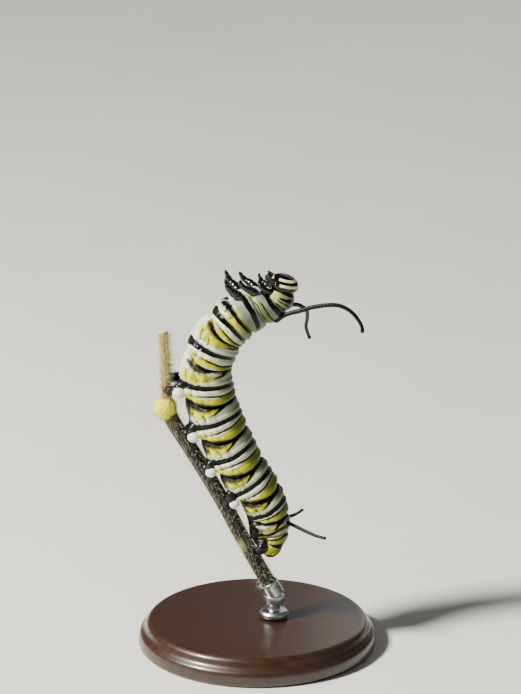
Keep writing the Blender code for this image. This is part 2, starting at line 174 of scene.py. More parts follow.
def tidy(ob, merge=0.0008, sharp=180):
    """Closes seams and poles, turns the faces outward and shades the piece smooth.

    Points closer than merge in mm become one. Edges bent more than sharp degrees stay crisp.
    """
    clear_choice()
    bpy.context.view_layer.objects.active = ob
    ob.select_set(True)
    bpy.ops.object.mode_set(mode="EDIT")
    bpy.ops.mesh.select_all(action="SELECT")
    bpy.ops.mesh.remove_doubles(threshold=merge * MM)
    bpy.ops.mesh.normals_make_consistent(inside=False)
    bpy.ops.object.mode_set(mode="OBJECT")
    bpy.ops.object.transform_apply(location=True, rotation=True, scale=True)
    if sharp < 180:
        bpy.ops.object.shade_smooth_by_angle(angle=math.radians(sharp))
    else:
        bpy.ops.object.shade_smooth()
    return ob


def wrapped(name, rows, turns, place, notes=None):
    """A flat grid rolled into a closed skin: place gives the points in mm for arrays u along and v round.

    notes are values for each point, kept with the piece for its material.
    """
    clear_choice()
    bpy.ops.mesh.primitive_grid_add(x_subdivisions=rows, y_subdivisions=turns, size=1)
    ob = bpy.context.object
    ob.name = ob.data.name = name
    flat = np.empty(len(ob.data.vertices) * 3)
    ob.data.vertices.foreach_get("co", flat)
    flat = flat.reshape(-1, 3)
    u, v = np.clip(flat[:, 0] + 0.5, 0, 1), np.clip(flat[:, 1] + 0.5, 0, 1)
    v[v > 0.99999] = 0.0
    points = place(u, v)
    ob.data.vertices.foreach_set("co", (points * MM).ravel())
    for key, values in (notes(u, v, points) if notes else {}).items():
        ob.data.attributes.new(key, "FLOAT", "POINT").data.foreach_set("value", values)
    ob.data.uv_layers[0].name = "unrolled"
    return tidy(ob)


def course_at(course, u):
    """Points of a smooth curve through a few points, at shares u of its length."""
    course = np.asarray(course, float)
    along = np.concatenate(([0.0], np.cumsum(np.linalg.norm(np.diff(course, axis=0), axis=1))))
    return np.stack([hermite(along, course[:, axis], u * along[-1]) for axis in range(3)], -1)


def limb(name, course, radius, rows=60, turns=28, flat=None, notes=None):
    """A tube along a curve. radius(u, v) is in mm, flat squeezes the section toward its own second axis."""
    even = np.linspace(0, 1, rows + 1)
    line = course_at(course, even)
    tangent = np.gradient(line, axis=0)
    tangent /= np.linalg.norm(tangent, axis=1)[:, None]
    side = np.empty_like(line)
    first = np.cross(tangent[0], (0.0, 1.0, 0.01))
    side[0] = first / np.linalg.norm(first)
    for k in range(1, len(line)):
        step = side[k - 1] - tangent[k] * (side[k - 1] @ tangent[k])
        side[k] = step / np.linalg.norm(step)
    over = np.cross(tangent, side)

    def place(u, v):
        pick = np.rint(u * rows).astype(int)
        turn = 2 * np.pi * v
        r = radius(u, v)
        squeeze = 1.0 if flat is None else flat(u)
        return (line[pick] + side[pick] * (r * np.cos(turn) * squeeze)[:, None]
                + over[pick] * (r * np.sin(turn))[:, None])

    return wrapped(name, rows, turns, place, notes)


def ended(u, first=0.04, last=0.04):
    """Rounds the two ends of a tube to closed tips."""
    return domed(ramp(u, 0, first)) * domed(ramp(1 - u, 0, last))


def joined(name, parts):
    clear_choice()
    for part in parts:
        part.select_set(True)
    bpy.context.view_layer.objects.active = parts[0]
    bpy.ops.object.join()
    bpy.context.object.name = bpy.context.object.data.name = name
    return bpy.context.object


def finished(ob, finish, slot, *nodes):
    """Gives a piece its material and ties it to the model's one body."""
    ob.data.materials.clear()
    ob.data.materials.append(finish)
    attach(ob, "root")
    if nodes:
        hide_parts(*nodes)
    return ob


# Materials.

# The output that a kind of node is read by, where it isn't the first, and the two colours of a mix.
READ = {"Mix": 2, "Attribute": "Fac", "TexCoord": "Object", "TexWave": "Fac"}
UNDER, OVER = 6, 7


def linear(code):
    """An sRGB hex colour as linear values."""
    parts = [int(code[i:i + 2], 16) / 255 for i in (1, 3, 5)]
    return (*[c / 12.92 if c <= 0.04045 else ((c + 0.055) / 1.055) ** 2.4 for c in parts], 1.0)


def add(tree, kind, inputs=None, **settings):
    """Adds a node with its settings and gives its output. A socket given as an input is linked."""
    made = tree.nodes.new("ShaderNode" + kind)
    for key, value in settings.items():
        setattr(made, key, value)
    for key, value in (inputs or {}).items():
        if isinstance(value, bpy.types.NodeSocket):
            tree.links.new(value, made.inputs[key])
        else:
            made.inputs[key].default_value = linear(value) if isinstance(value, str) else value
    return made.outputs[READ.get(kind, 0)]


def begun(name, **values):
    """A new material with plain values set on its sockets, its node tree and the place its patterns read."""
    finish = bpy.data.materials.new(name)
    finish.use_nodes = True
    for key, value in values.items():
        finish.node_tree.nodes["Principled BSDF"].inputs[key.replace("_", " ")].default_value = value
    return finish, finish.node_tree, add(finish.node_tree, "TexCoord")


def edged(tree, where, scale, edges):
    """Shares of the markings that a piece's notes give, each with how soft its edge is and how far it wavers."""
    waver = add(tree, "TexNoise", {"Vector": where, "Scale": scale, "Detail": 3.0})
    shaken = add(tree, "Math", {0: waver, 1: 0.5}, operation="SUBTRACT")
    shares = {}
    for key, soft, shake in edges:
        inside = add(tree, "Attribute", attribute_name=key)
        moved = add(tree, "Math", {0: shaken, 1: shake, 2: inside}, operation="MULTIPLY_ADD")
        shares[key] = add(tree, "MapRange", {"Value": moved, "From Min": -soft, "From Max": soft},
                          interpolation_type="SMOOTHSTEP")
    return shares


def surfaced(finish, layers, gloss, bumps):
    """Builds a material's surface on its shader.

    Each layer gives a tone from what lies under, what lies over and the share of that, and the last tone
    is the colour. gloss sets the roughness from a pattern. A bump is a strength, a depth in mm and a
    pattern, the coarse one first.
    """
    tree = finish.node_tree
    ends = tree.nodes["Principled BSDF"].inputs
    tones = {}
    for tone, under, over, share in layers:
        tones[tone] = add(tree, "Mix", {0: share, UNDER: tones.get(under, under), OVER: tones.get(over, over)},
                          data_type="RGBA")
    tree.links.new(tones[tone], ends["Base Color"])
    tree.links.new(add(tree, "MapRange", gloss), ends["Roughness"])
    below = {}
    for strength, depth, pattern in bumps:
        below = {"Normal": add(tree, "Bump", {"Strength": strength, "Distance": depth * MM, "Height": pattern,
                                              **below})}
    tree.links.new(below["Normal"], ends["Normal"])
    return finish


def cuticle():
    """Soft living cuticle, grown in fine rings: satin, a little translucent, with sharp-edged markings.

    The light goes a short way in, so the white bands look milky, and the black ones keep a damp sheen.
    """
    finish, tree, where = begun("living_cuticle_banded", IOR=1.42, Subsurface_Weight=0.06,
                                Subsurface_Scale=0.0004, Subsurface_Radius=(1.0, 0.75, 0.45),
                                Specular_IOR_Level=0.24, Coat_Weight=0.03, Coat_Roughness=0.2)
    # Edges that waver over 0.5 mm, and specks of 0.12 mm.
    share = edged(tree, where, 2000, (
        ("black", 0.035, 0.13), ("yellow", 0.20, 0.32), ("blotch", 0.24, 0.22), ("plate", 0.25, 0.2),
        ("belly", 0.45, 0.3), ("deep", 0.5, 0.1), ("cool_shade", 0.5, 0.2), ("olive", 0.5, 0.1)))
    fleck = add(tree, "TexNoise", {"Vector": where, "Scale": 8000, "Detail": 2.0})
    milky = add(tree, "MapRange", {"Value": fleck, "From Min": 0.35, "From Max": 0.7, "To Max": 0.16})
    mottle = add(tree, "MapRange", {"Value": fleck, "From Min": 0.34, "From Max": 0.56, "To Min": 0.93})
    # Painted shade darkens the skin where it dips into creases and folds, and a painted highlight lightens it where it
    # rises.
    crease_shade, crest_highlight = [add(tree, "Attribute", attribute_name=key) for key in ("crease_shade", "crest_highlight")]
    olive_shade, lit, belly, blotch = [add(tree, "Math", {0: one, 1: other}, operation="MULTIPLY") for one, other in (
        (share["olive"], 0.42), (crest_highlight, 0.55), (share["belly"], mottle), (share["blotch"], mottle))]
    # Painted shade: the whites are painted cooler and darker on the thorax and the back.
    layers = [("white", "#CDD3B0", "#5D7067", share["cool_shade"]), ("white", "white", "#6C7444", olive_shade),
              ("white", "white", "#4A543C", crease_shade), ("white", "white", "#FBFAEC", crest_highlight),
              ("white", "white", "#B9C0AE", milky),
              # Painted shade: the yellows turn olive on the back and the thorax, as the whites do above.
              ("yellow", "#BCBC12", "#676E22", share["olive"]), ("yellow", "yellow", "#F4EA30", lit),
              ("yellow", "yellow", "#5C5C12", crease_shade), ("skin", "white", "yellow", share["yellow"]),
              # The belly darkens toward the tail: partly its own darker skin, partly painted shade.
              ("belly", "#CFD8BC", "#23271E", share["deep"]), ("skin", "skin", "belly", belly),
              ("blotch", "#20180F", "#0B0907", crease_shade), ("skin", "skin", "blotch", blotch),
              ("black", "#040405", "#161318", share["plate"]), ("skin", "skin", "black", share["black"])]
    # Rings of fine wrinkles about 0.13 mm apart run round the body, over a grain of 0.06 mm.
    sheet = add(tree, "UVMap", uv_map="unrolled")
    stretched = add(tree, "Mapping", {"Vector": sheet, "Scale": (330.0, 7.0, 1.0)})
    rings = add(tree, "TexNoise", {"Vector": stretched, "Scale": 1.0, "Detail": 4.0, "Roughness": 0.6})
    grain = add(tree, "TexNoise", {"Vector": where, "Scale": 16000, "Detail": 2.0})
    return surfaced(finish, layers, {"Value": share["black"], "To Min": 0.44, "To Max": 0.34},
                    [(0.55, 0.06, rings), (0.30, 0.02, grain)])


def speckled(name, dark, light, size, smooth, dull, strength, depth, **values):
    """A material of two close colours in specks, and bumps a quarter as wide. Lengths are in mm."""
    finish, tree, where = begun(name, **values)
    spot = add(tree, "TexNoise", {"Vector": where, "Scale": 1 / (size * MM), "Detail": 5.0, "Roughness": 0.6})
    share = add(tree, "MapRange", {"Value": spot, "From Min": 0.35, "From Max": 0.65})
    fine = add(tree, "TexNoise", {"Vector": where, "Scale": 1 / (size / 4 * MM), "Detail": 3.0})
    gloss = {"Value": spot, "From Min": 0.3, "From Max": 0.7, "To Min": smooth, "To Max": dull}
    return surfaced(finish, [("specks", dark, light, share)], gloss, [(strength, depth, fine)])


def banded_chitin():
    """Hard chitin of the head, black and polished, with cream bands grown into it.

    It is the glossiest surface of the larva, and gives small bright glints.
    """
    finish, tree, where = begun("polished_chitin_banded", IOR=1.5, Specular_IOR_Level=0.28,
                                Coat_Weight=0.06, Coat_Roughness=0.06)
    pale = edged(tree, where, 2600, [("pale", 0.035, 0.12)])["pale"]
    face = add(tree, "Attribute", attribute_name="face")
    # Chitin is finely pitted, about 0.08 mm from pit to pit.
    pits = add(tree, "TexVoronoi", {"Vector": where, "Scale": 12000})
    return surfaced(finish, [("cream", "#F0EC84", "#F8F8DC", face), ("head", "#040405", "cream", pale)],
                    {"Value": pale, "To Min": 0.14, "To Max": 0.30}, [(0.18, 0.03, pits)])


# Markings: strokes on the unrolled skin, rows of (place along the body, angle, half width in mm).

OUTSIDE = -9.0


def stroke(s, angle, radius, path):
    """How far inside a stroke each point lies, in mm, less than 0 outside."""
    best = np.full(len(s), OUTSIDE)
    arc = np.radians(np.abs(angle)) * radius
    for (s0, a0, w0), (s1, a1, w1) in zip(path, path[1:]):
        y0, y1 = np.radians(a0) * radius, np.radians(a1) * radius
        t = ((s - s0) * (s1 - s0) + (arc - y0) * (y1 - y0)) / ((s1 - s0) ** 2 + (y1 - y0) ** 2 + 1e-9)
        t = np.clip(t, 0, 1)
        away = np.hypot(s - s0 - t * (s1 - s0), arc - y0 - t * (y1 - y0))
        best = np.maximum(best, w0 + (w1 - w0) * t - away)
    return best


# Each row: the main band at the back, flank and belly edge, the thin line at the back, upper flank and flank,
# the fold at the back and shoulder, how much wider than BAND_HALF the main band is, and where the yellow of
# the flank lies between the fold (0) and the thin line (1).
BANDS = {
    "abdomen_7": (7.80, 7.00, 7.10, 6.85, 6.60, 6.42, 5.66, 5.42, 0.00, 0.45),
    "abdomen_6": (11.80, 11.38, 11.20, 11.00, 10.45, 10.22, 9.62, 8.90, 0.01, 0.30),
    "abdomen_5": (16.38, 16.12, 16.50, 15.06, 15.00, 15.25, 13.60, 13.24, 0.03, 0.42),
    "abdomen_4": (21.24, 21.12, 21.32, 20.38, 20.03, 20.00, 18.52, 18.32, 0.03, 0.34),
    "abdomen_3": (26.12, 26.16, 26.46, 24.86, 24.86, 25.14, 23.82, 23.40, 0.03, 0.36),
    "abdomen_2": (31.10, 30.96, 31.10, 29.60, 29.56, 29.95, 29.10, 28.64, 0.02, 0.85),
    "abdomen_1": (34.62, 35.20, 35.00, 33.66, 33.80, 34.15, 32.96, 33.05, 0.01, 0.78),
}
# Half size of the white knob at each clasping leg. Then each leg: place along its segment, height of its left
# and right foot on the stem, and how far its toe is from the stem's middle line.
KNOBS = {"abdomen_3": 0.86, "abdomen_4": 0.80, "abdomen_5": 0.72, "abdomen_6": 0.66}
PROLEGS = {"abdomen_3": (0.64, 35.25, 36.3, -0.20), "abdomen_4": (0.57, 29.55, 29.2, 0.50),
           "abdomen_5": (0.55, 24.85, 24.6, 0.10), "abdomen_6": (0.53, 20.45, 20.15, 0.50)}
# How far forward of its shoulder a fold lies, at angles round the body.
FOLD_SWEEP = ([0, 35, 60, 85, 112, 140, 180], [0.15, 0.0, -0.03, 0.05, 0.42, 1.08, 1.3])
BAND_HALF = 0.26
THORAX, LAST_LEGS = 36.5, 8.2
# Folds at the back and shoulder. The one behind abdomen_7 comes twice, because it is twice as deep.
FOLD_PLACES = [row[6:8] for row in BANDS.values()] + [
    (THORAX, THORAX), (39.0, 39.0), (41.4, 41.4), (3.4, 3.4), (5.66, 5.42)]
# Strokes of their own: the folds of the first two segments of the abdomen, the thorax and the tail.
OWN_STROKES = {
    "black": [
        [(33.55, 122, 0.10), (33.4, 108, 0.16), (33.1, 86, 0.19), (33.12, 56, 0.18), (33.0, 0, 0.16)],
        [(32.3, 78, 0.03), (32.55, 58, 0.13), (32.7, 30, 0.13), (32.7, 0, 0.12)],
        [(29.15, 0, 0.18), (29.08, 16, 0.22), (28.69, 31, 0.27), (28.01, 50, 0.24), (27.60, 70, 0.04)],
        [(29.0, 18, 0.10), (28.74, 40, 0.14), (28.66, 67, 0.17), (28.62, 90, 0.22), (28.90, 108, 0.12),
         (29.2, 118, 0.03)],
        [(37.30, 0, 0.26), (37.45, 16, 0.28), (38.27, 62, 0.33), (38.52, 97, 0.34), (38.33, 134, 0.36),
         (37.9, 156, 0.5)],
        [(36.42, 0, 0.16), (36.40, 30, 0.16), (36.46, 92, 0.17), (36.40, 128, 0.18), (36.30, 150, 0.30),
         (36.2, 168, 0.30)],
        [(41.0, 0, 0.28), (40.96, 42, 0.30), (41.14, 99, 0.31), (41.35, 131, 0.30), (41.2, 158, 0.34)],
        [(39.85, 146, 0.30), (39.85, 160, 0.5)],
        [(42.52, 0, 0.20), (42.52, 60, 0.20), (42.44, 96, 0.08)],
        [(43.75, 0, 0.80), (43.75, 100, 0.72), (43.75, 150, 0.50)],
        [(39.34, 0, 0.09), (39.36, 60, 0.09), (39.50, 106, 0.08), (39.0, 142, 0.04)],
        [(39.98, 0, 0.11), (40.0, 60, 0.11), (40.14, 106, 0.10), (39.6, 142, 0.04)],
        [(41.60, 0, 0.08), (41.64, 90, 0.08), (41.70, 125, 0.03)],
        [(42.08, 0, 0.08), (42.12, 90, 0.08), (42.16, 125, 0.03)],
        [(5.30, 84, 0.10), (5.62, 104, 0.16), (5.95, 122, 0.16), (6.3, 138, 0.2)],
        [(4.32, 0, 0.22), (4.45, 46, 0.25), (4.39, 71, 0.24), (4.08, 97, 0.23), (3.88, 114, 0.22),
         (4.08, 134, 0.26), (4.20, 156, 0.30)],
        [(2.12, 0, 0.28), (2.10, 25, 0.32), (1.98, 50, 0.42), (2.12, 74, 0.30), (2.34, 98, 0.15), (2.5, 116, 0.03)],
        [(0.36, 0, 0.14), (0.46, 80, 0.18), (0.40, 128, 0.24)],
        [(3.28, 0, 0.14), (3.29, 40, 0.15), (3.05, 79, 0.15), (3.16, 121, 0.12), (3.5, 156, 0.10)]],
    "blotch": [
        [(33.1, 92, 0.15), (33.35, 112, 0.34), (33.7, 132, 0.36), (33.9, 142, 0.10)],
        [(28.5, 70, 0.05), (28.42, 92, 0.28), (28.62, 112, 0.46), (28.98, 130, 0.40), (29.2, 142, 0.2)],
        [(36.5, 88, 0.14), (36.5, 108, 0.20), (36.44, 130, 0.28), (36.3, 152, 0.4), (36.2, 170, 0.4)]],
    "yellow": [
        [(28.72, 12, 0.06), (28.40, 24, 0.10), (27.98, 46, 0.20), (27.6, 70, 0.32)],
        [(36.86, 0, 0.26), (36.92, 60, 0.27), (36.98, 104, 0.24), (37.1, 132, 0.10)],
        [(39.66, 0, 0.24), (39.70, 60, 0.24), (39.83, 106, 0.22), (39.4, 142, 0.16)],
        [(41.84, 0, 0.18), (41.90, 90, 0.19), (41.94, 130, 0.16)],
        [(5.0, 50, 0.10), (4.98, 72, 0.28), (4.92, 100, 0.34), (4.84, 120, 0.10)],
        [(2.76, 0, 0.30), (2.66, 60, 0.34), (2.74, 130, 0.42)],
        [(0.95, 0, 0.5), (0.95, 60, 0.75), (1.5, 130, 0.8)]],
    # Only half yellow, behind the head and where the last side patches meet the belly.
    "cream": [
        [(42.6, 20, 0.52), (42.6, 150, 0.55)], [(4.92, 100, 0.44), (4.78, 134, 0.40)],
        [(3.72, 50, 0.40), (3.62, 140, 0.44)], [(35.9, 122, 0.34), (36.05, 138, 0.26)]]}


def fold_place(angle, back, shoulder):
    """Where the fold behind a segment lies, swept forward down the flank."""
    return shoulder + hermite(*FOLD_SWEEP, np.abs(angle)) + (back - shoulder - 0.15) * np.clip(1 - angle / 35, 0, 1)


def segment_strokes(segment, front):
    """The strokes of one segment of the abdomen, by marking. front is where the fold in front of it lies."""
    m0, m90, m145, t20, t60, t100, f0, f40, more, lie = BANDS[segment]
    wide = BAND_HALF + more
    low = (m145, 142, wide + 0.05)
    strokes = {"yellow": [], "blotch": [], "plate": [], "black": [
        [(m0, 0, wide - 0.01), (m0 * 0.6 + m90 * 0.4, 40, wide), (m90, 90, wide + 0.02), low],
        [(t20, 0, 0.13), (t20, 25, 0.14), (t60, 60, 0.13), (t100, 97, 0.09), (t100 + 0.1, 112, 0.02)]]}
    if segment not in ("abdomen_1", "abdomen_2"):
        strokes["black"] += [
            [(f0, 0, 0.24), (f40 + 0.1, 30, 0.27), (f40 - 0.04, 55, 0.28), (f40 - 0.42, 70, 0.22),
             (f40 - 0.80, 84, 0.13), (f40 - 0.95, 98, 0.03)],
            [(f40, 55, 0.14), (f40 + 0.03, 78, 0.24), (f40 + 0.18, 97, 0.26), (f40 + 0.42, 112, 0.10)]]
        wash = 0.35 if segment == "abdomen_7" else 1.12
        strokes["blotch"].append([
            (f40, 62, 0.2), (f40 + 0.02, 80, 0.36 * wash), (f40 + 0.16, 98, 0.52 * wash),
            (f40 + 0.42, 114, 0.62 * wash), (f40 + 0.82, 134, 0.62 * wash), (f40 + 1.0, 148, 0.45 * wash)])
    # Yellow: across the back between the thin line and the fold, down the flank behind the knob,
    # and a patch at the front of the segment above the spiracle.
    half = (t60 - f40) / 2 - 0.10
    flank = f40 + 0.15 + (t100 - f40 - 0.15) * lie
    behind, lower = ((0.72, 0.26), (0.55, 0.12)) if segment == "abdomen_7" else ((1.62, 0.50), (1.0, 0.44))
    strokes["yellow"].append([
        ((t20 + f0) / 2, 0, max((t20 - f0) / 2 - 0.1, 0.2)), ((t60 + f40) / 2, 50, half),
        (flank * 0.6 + (t60 + f40) * 0.2, 78, half * 0.9), (flank, 98, 0.50),
        (m145 - behind[0], 118, behind[1]), (m145 - lower[0], 137, lower[1])])
    top, wide_patch = (40, (0.56, 0.16, -0.2)) if segment == "abdomen_1" else (58, (0.66, 0.64, 0.45))
    drop = 0.62 if segment == "abdomen_3" else 0.0
    strokes["yellow"].append([
        (front - 0.34 - drop, top + drop * 40, 0.14), (front - 0.54 - drop, 78, 0.38),
        (front - 0.62 - drop, 104, wide_patch[0]), (front - 0.42 - drop * 1.4, 128, wide_patch[1]),
        (front - 0.22 - drop * 1.4, 142, wide_patch[2])])
    # The black plate over a leg, or the same place where there is none.
    if segment in PROLEGS:
        spot = middle_of(segment, PROLEGS[segment][0])
        strokes["black"].append([low, (m145 * 0.5 + spot * 0.5, 152, 0.52), (spot, 166, 0.8)])
        strokes["plate"].append([(m145, 146, 0.2), (spot, 160, 0.9)])
    elif segment != "abdomen_7":
        strokes["black"].append([low, (m145, 156, 0.46), (m145 - 0.1, 166, 0.50)])
        strokes["plate"].append([(m145, 150, 0.3), (m145 - 0.1, 168, 0.6)])
    return strokes


def all_strokes():
    strokes = {"plate": [], **{key: list(paths) for key, paths in OWN_STROKES.items()}}
    front = THORAX
    for segment in reversed(BANDS):
        for key, paths in segment_strokes(segment, front).items():
            strokes[key] += paths
        front = BANDS[segment][7] + 0.12
    return strokes


STROKES = all_strokes()


def marks_of(s, angle, radius):
    """The markings as distances inside them, in mm.

    The belly is black at the tail, dark as far as the third pair of clasping legs, and pale in front of it.
    That dark is partly the belly's own darker skin and partly painted shade.
    The thorax and the back have painted shade: their whites are painted cooler and darker, and the back is painted
    more olive than the flanks.
    """
    inside = {key: np.max([stroke(s, angle, radius, path) for path in paths], axis=0)
              for key, paths in STROKES.items()}
    side = np.abs(angle)
    tail_edge = np.interp(s, (0, 2.4, 3.4, 4.2, 5.2, 6.4, 7.1, LAST_LEGS), (150, 148, 146, 142, 134, 134, 138, 172))
    below = np.where(s < LAST_LEGS, np.radians(side - tail_edge) * radius, OUTSIDE)
    belly_edge = np.interp(s, (25.5, 28), (141, 150))
    # Painted shade: strong over the thorax, and added over the back by the angle below.
    shade = np.interp(s, (34.6, 36.8, 41.2, 41.9), (-0.62, 0.85, 0.85, -0.6))
    return {"black": np.maximum(inside["black"], np.minimum(below, 0.6)),
            "yellow": np.maximum(inside["yellow"], np.minimum(inside["cream"], 0.03)),
            "blotch": inside["blotch"], "plate": inside["plate"],
            # The belly's dark behind the clasping legs is partly its own darker skin and partly painted shade.
            "belly": np.radians(side - belly_edge) * radius, "deep": (26.6 - s) / 2.0,
            "cool_shade": shade + np.clip((72 - side) / 46, -0.6, 1.0),
            # Painted shade: the back, and the whole thorax, are painted more olive.
            "olive": (66 - side) / 50 + np.where(s > 36.3, 1.0, 0.0)}


def swell(s, angle, radius):
    """How far the skin stands off its plain round form: folds, rings, side bulges and leg seats."""
    side = np.abs(angle)
    arc = np.radians(side) * radius
    rise = np.full(len(s), 0.06)
    for back, shoulder in FOLD_PLACES:
        off = s - fold_place(side, back, shoulder) if 4 < back < 36 else s - back - 0.15 * np.sin(np.radians(side))
        deep = 0.34 if 6 < back < 38 else 0.22 if back > 38 else 0.16
        broad = 1 + 0.6 * ramp(side, 85, 45)
        if back < 8:
            broad = np.clip((165 - side) / 40, 0.15, 1)
            deep = deep * broad
        rise -= deep * bell(off, 0.19) + 0.12 * broad * broad * bell(off, 0.45 * broad)
    for segment, row in BANDS.items():
        m0, m90, m145, t20, t60, t100, _, f40 = row[:8]
        main = hermite([0, 90, 145, 180], [m0, m90, m145, m145], side)
        line = hermite([0, 20, 60, 100, 180], [t20, t20, t60, t100, t100 + 0.4], side)
        fade = ramp(side, 150, -30)
        # Rings of skin and the grooves between them: height, way off, half width.
        for high, off, wide in ((0.13, s - main - 0.72, 0.30), (0.11, s - (main + line) / 2, 0.26),
                                (-0.11, s - line, 0.13), (-0.06, s - main, 0.24),
                                (-0.07, s - main - 0.36, 0.08), (0.10, s - (line + f40) / 2, 0.34)):
            rise += high * bell(off, wide) * fade
        # Side bulges: place, angle, size, height.
        for centre, turn, size, high in (
                (m145 - 1.05, 135, 0.80, 0.48), (m145 - 1.75, 112, 0.72, 0.30), (m90 + 1.35, 124, 0.60, 0.38),
                (m90 + 1.45, 98, 0.62, 0.28), (m90 + 1.30, 147, 0.55, 0.36), (m90 - 0.3, 160, 1.2, 0.12)):
            rise += high * bell(np.hypot(s - centre, arc - math.radians(turn) * radius), size)
        # Short creases that run forward over the side bulges.
        front = main + (1.2 if segment == "abdomen_7" else 1.45)
        for path, deep in (([(front + 0.25, 139, 0), (front - 0.20, 136, 0), (front - 0.62, 133, 0)], 0.26),
                           ([(front + 0.05, 112, 0), (front - 0.45, 108, 0), (front - 0.80, 110, 0)], 0.15)):
            rise -= deep * bell(stroke(s, side, radius, path), 0.15)
        rise -= 0.12 * np.exp(-((s - m145 + 0.9) / 0.7) ** 4) * bell(arc - np.radians(122) * radius, 0.16)
    # The flank is crumpled in small folds that run along the body.
    flank = ramp(side, 76, 26) * ramp(side, 156, -18) * ramp(s, 36.3, -1.5)
    rise += 0.13 * flank * rough(np.stack((s * 0.62, np.radians(angle) * radius * 1.35, 0 * s), -1), 1.05, 6)
    # The belly hangs low over the last legs, and the back slopes away to the tail.
    under = ramp(side, 128, 34)
    hang = np.interp(s, (1.2, 2.4, 3.6, 4.6, 5.6, 6.8, LAST_LEGS), (0, 0.75, 1.15, 1.05, 0.72, 0.35, 0))
    rise += hang * under ** 2 * (3 - 2 * under)
    rise -= 0.42 * bell(s - 1.5, 1.0) * np.clip(np.cos(np.radians(side)), 0, 1)
    # Creases that part the shield of the last segment from its sides.
    for path in ([(1.62, 60, 0), (1.25, 84, 0), (0.55, 100, 0)], [(3.0, 118, 0), (2.3, 122, 0), (1.7, 120, 0)]):
        rise -= 0.20 * bell(stroke(s, side, radius, path), 0.14)
    return rise


ROWS, TURNS = 540, 176
TAIL_ROWS = 26
SKIN_S = np.concatenate((
    [TAIL_ROUND * (1 - math.cos(math.pi / 2 * k / TAIL_ROWS)) for k in range(TAIL_ROWS)],
    np.linspace(TAIL_ROUND, FOLD_S[-1] + 0.9, ROWS + 1 - TAIL_ROWS)))


def skin_parts(u, v):
    s = SKIN_S[np.rint(u * ROWS).astype(int)]
    angle = (v * 360 + 180) % 360 - 180
    return s, angle, half_height(s)


def skin_place(u, v):
    s, angle, radius = skin_parts(u, v)
    out = swell(s, angle, radius)
    flat = on_body(s, angle, np.zeros_like(s))
    out += 0.04 * rough(flat, 1.1, 1) + 0.018 * rough(flat, 0.35, 2)
    tip = domed(ramp(s, 0, TAIL_ROUND)) ** 0.8
    collar = ramp(s, 42.35, 1.3) ** 2
    size = (radius + out * ramp(s, 0, 2.0)) * tip * (1 - 0.55 * collar)
    middle, _, back = spine(s)
    turn = np.radians(angle)
    return (middle + back * (size * np.cos(turn))[:, None]
            + np.outer(size * WIDTH_RATIO * np.sin(turn), (0, 1, 0)))


def skin_notes(u, v, points):
    """The markings, with painted shade where the skin dips and painted highlights where it rises, against the skin a
    short reach away.
    """
    s, angle, radius = skin_parts(u, v)
    reach = 0.24
    turn = np.degrees(reach / radius)
    ground = (swell(s - reach, angle, radius) + swell(s + reach, angle, radius)
              + swell(s, angle - turn, radius) + swell(s, angle + turn, radius)) / 4
    bent = swell(s, angle, radius) - ground
    # A painted highlight on the raised skin of the flanks, weaker on the thorax.
    lit = ramp(np.abs(angle), 60, 40) * np.interp(s, (35.8, 37.2, 41.2, 42.0), (0.8, 0.25, 0.25, 0.8))
    return {**marks_of(s, angle, radius), "crease_shade": ramp(-bent, 0, 0.055) * 0.85, "crest_highlight": ramp(bent, 0, 0.03) * lit}


finished(wrapped("larva_skin", ROWS, TURNS, skin_place, skin_notes), cuticle(), "banded_skin", *SEGMENTS)

# Spiracles: black slits with a raised rim, low on the flank.
horn = speckled("horn_black_polished", "#030304", "#0A090C", 0.35, 0.18, 0.30, 0.15, 0.01, IOR=1.5,
                Coat_Weight=0.15, Coat_Roughness=0.1)
SPIRACLES = [("abdomen_%d" % n, BANDS["abdomen_%d" % n][1] + (1.05 if n > 1 else 0.9), 127) for n in range(1, 8)]
SPIRACLES += [("abdomen_8", 4.95, 118), ("prothorax", 41.75, 128)]
slits = []
for _, s, angle in SPIRACLES:
    for side in (-1, 1):
        clear_choice()
        bpy.ops.mesh.primitive_torus_add(major_radius=0.13 * MM, minor_radius=0.045 * MM, major_segments=20,
                                         minor_segments=8)
        ring = bpy.context.object
        bpy.ops.mesh.primitive_uv_sphere_add(segments=16, ring_count=8, radius=0.12 * MM)
        bpy.context.object.scale = (1, 1, 0.3)
        slit = joined("spiracle", [ring, bpy.context.object])
        middle, ahead, _ = spine(s)
        place = on_body(s, side * angle)
        rise = swell(np.array([s]), np.array([float(angle)]), half_height(np.array([s])))[0]
        outward = Vector(place - middle).normalized()
        tall = Vector(np.cross(ahead, outward)).normalized()
        slit.matrix_world = (Matrix.Translation((Vector(place) + outward * rise) * MM)
                             @ Matrix((Vector(ahead) * 0.62, tall * 1.15, outward)).transposed().to_4x4())
        slits.append(tidy(slit))
finished(joined("spiracles", slits), horn, "banded_skin")


# Head: a capsule in two rounded halves, its own frame X to the crown, Y across, Z to the face.

def head_frame():
    lean = math.radians(HEAD_LEAN)
    crown = Vector((math.cos(lean), 0.0, -math.sin(lean)))
    face = Vector((math.sin(lean), 0.0, math.cos(lean)))
    turn = Matrix((crown, Vector((0, 1, 0)), face)).transposed().to_4x4()
    return Matrix.Translation(Vector((HEAD_CENTRE[0], 0.0, HEAD_CENTRE[1]))) @ turn


HEAD = np.array(head_frame())


def in_head(points):
    return np.asarray(points, float) @ HEAD[:3, :3].T + HEAD[:3, 3]


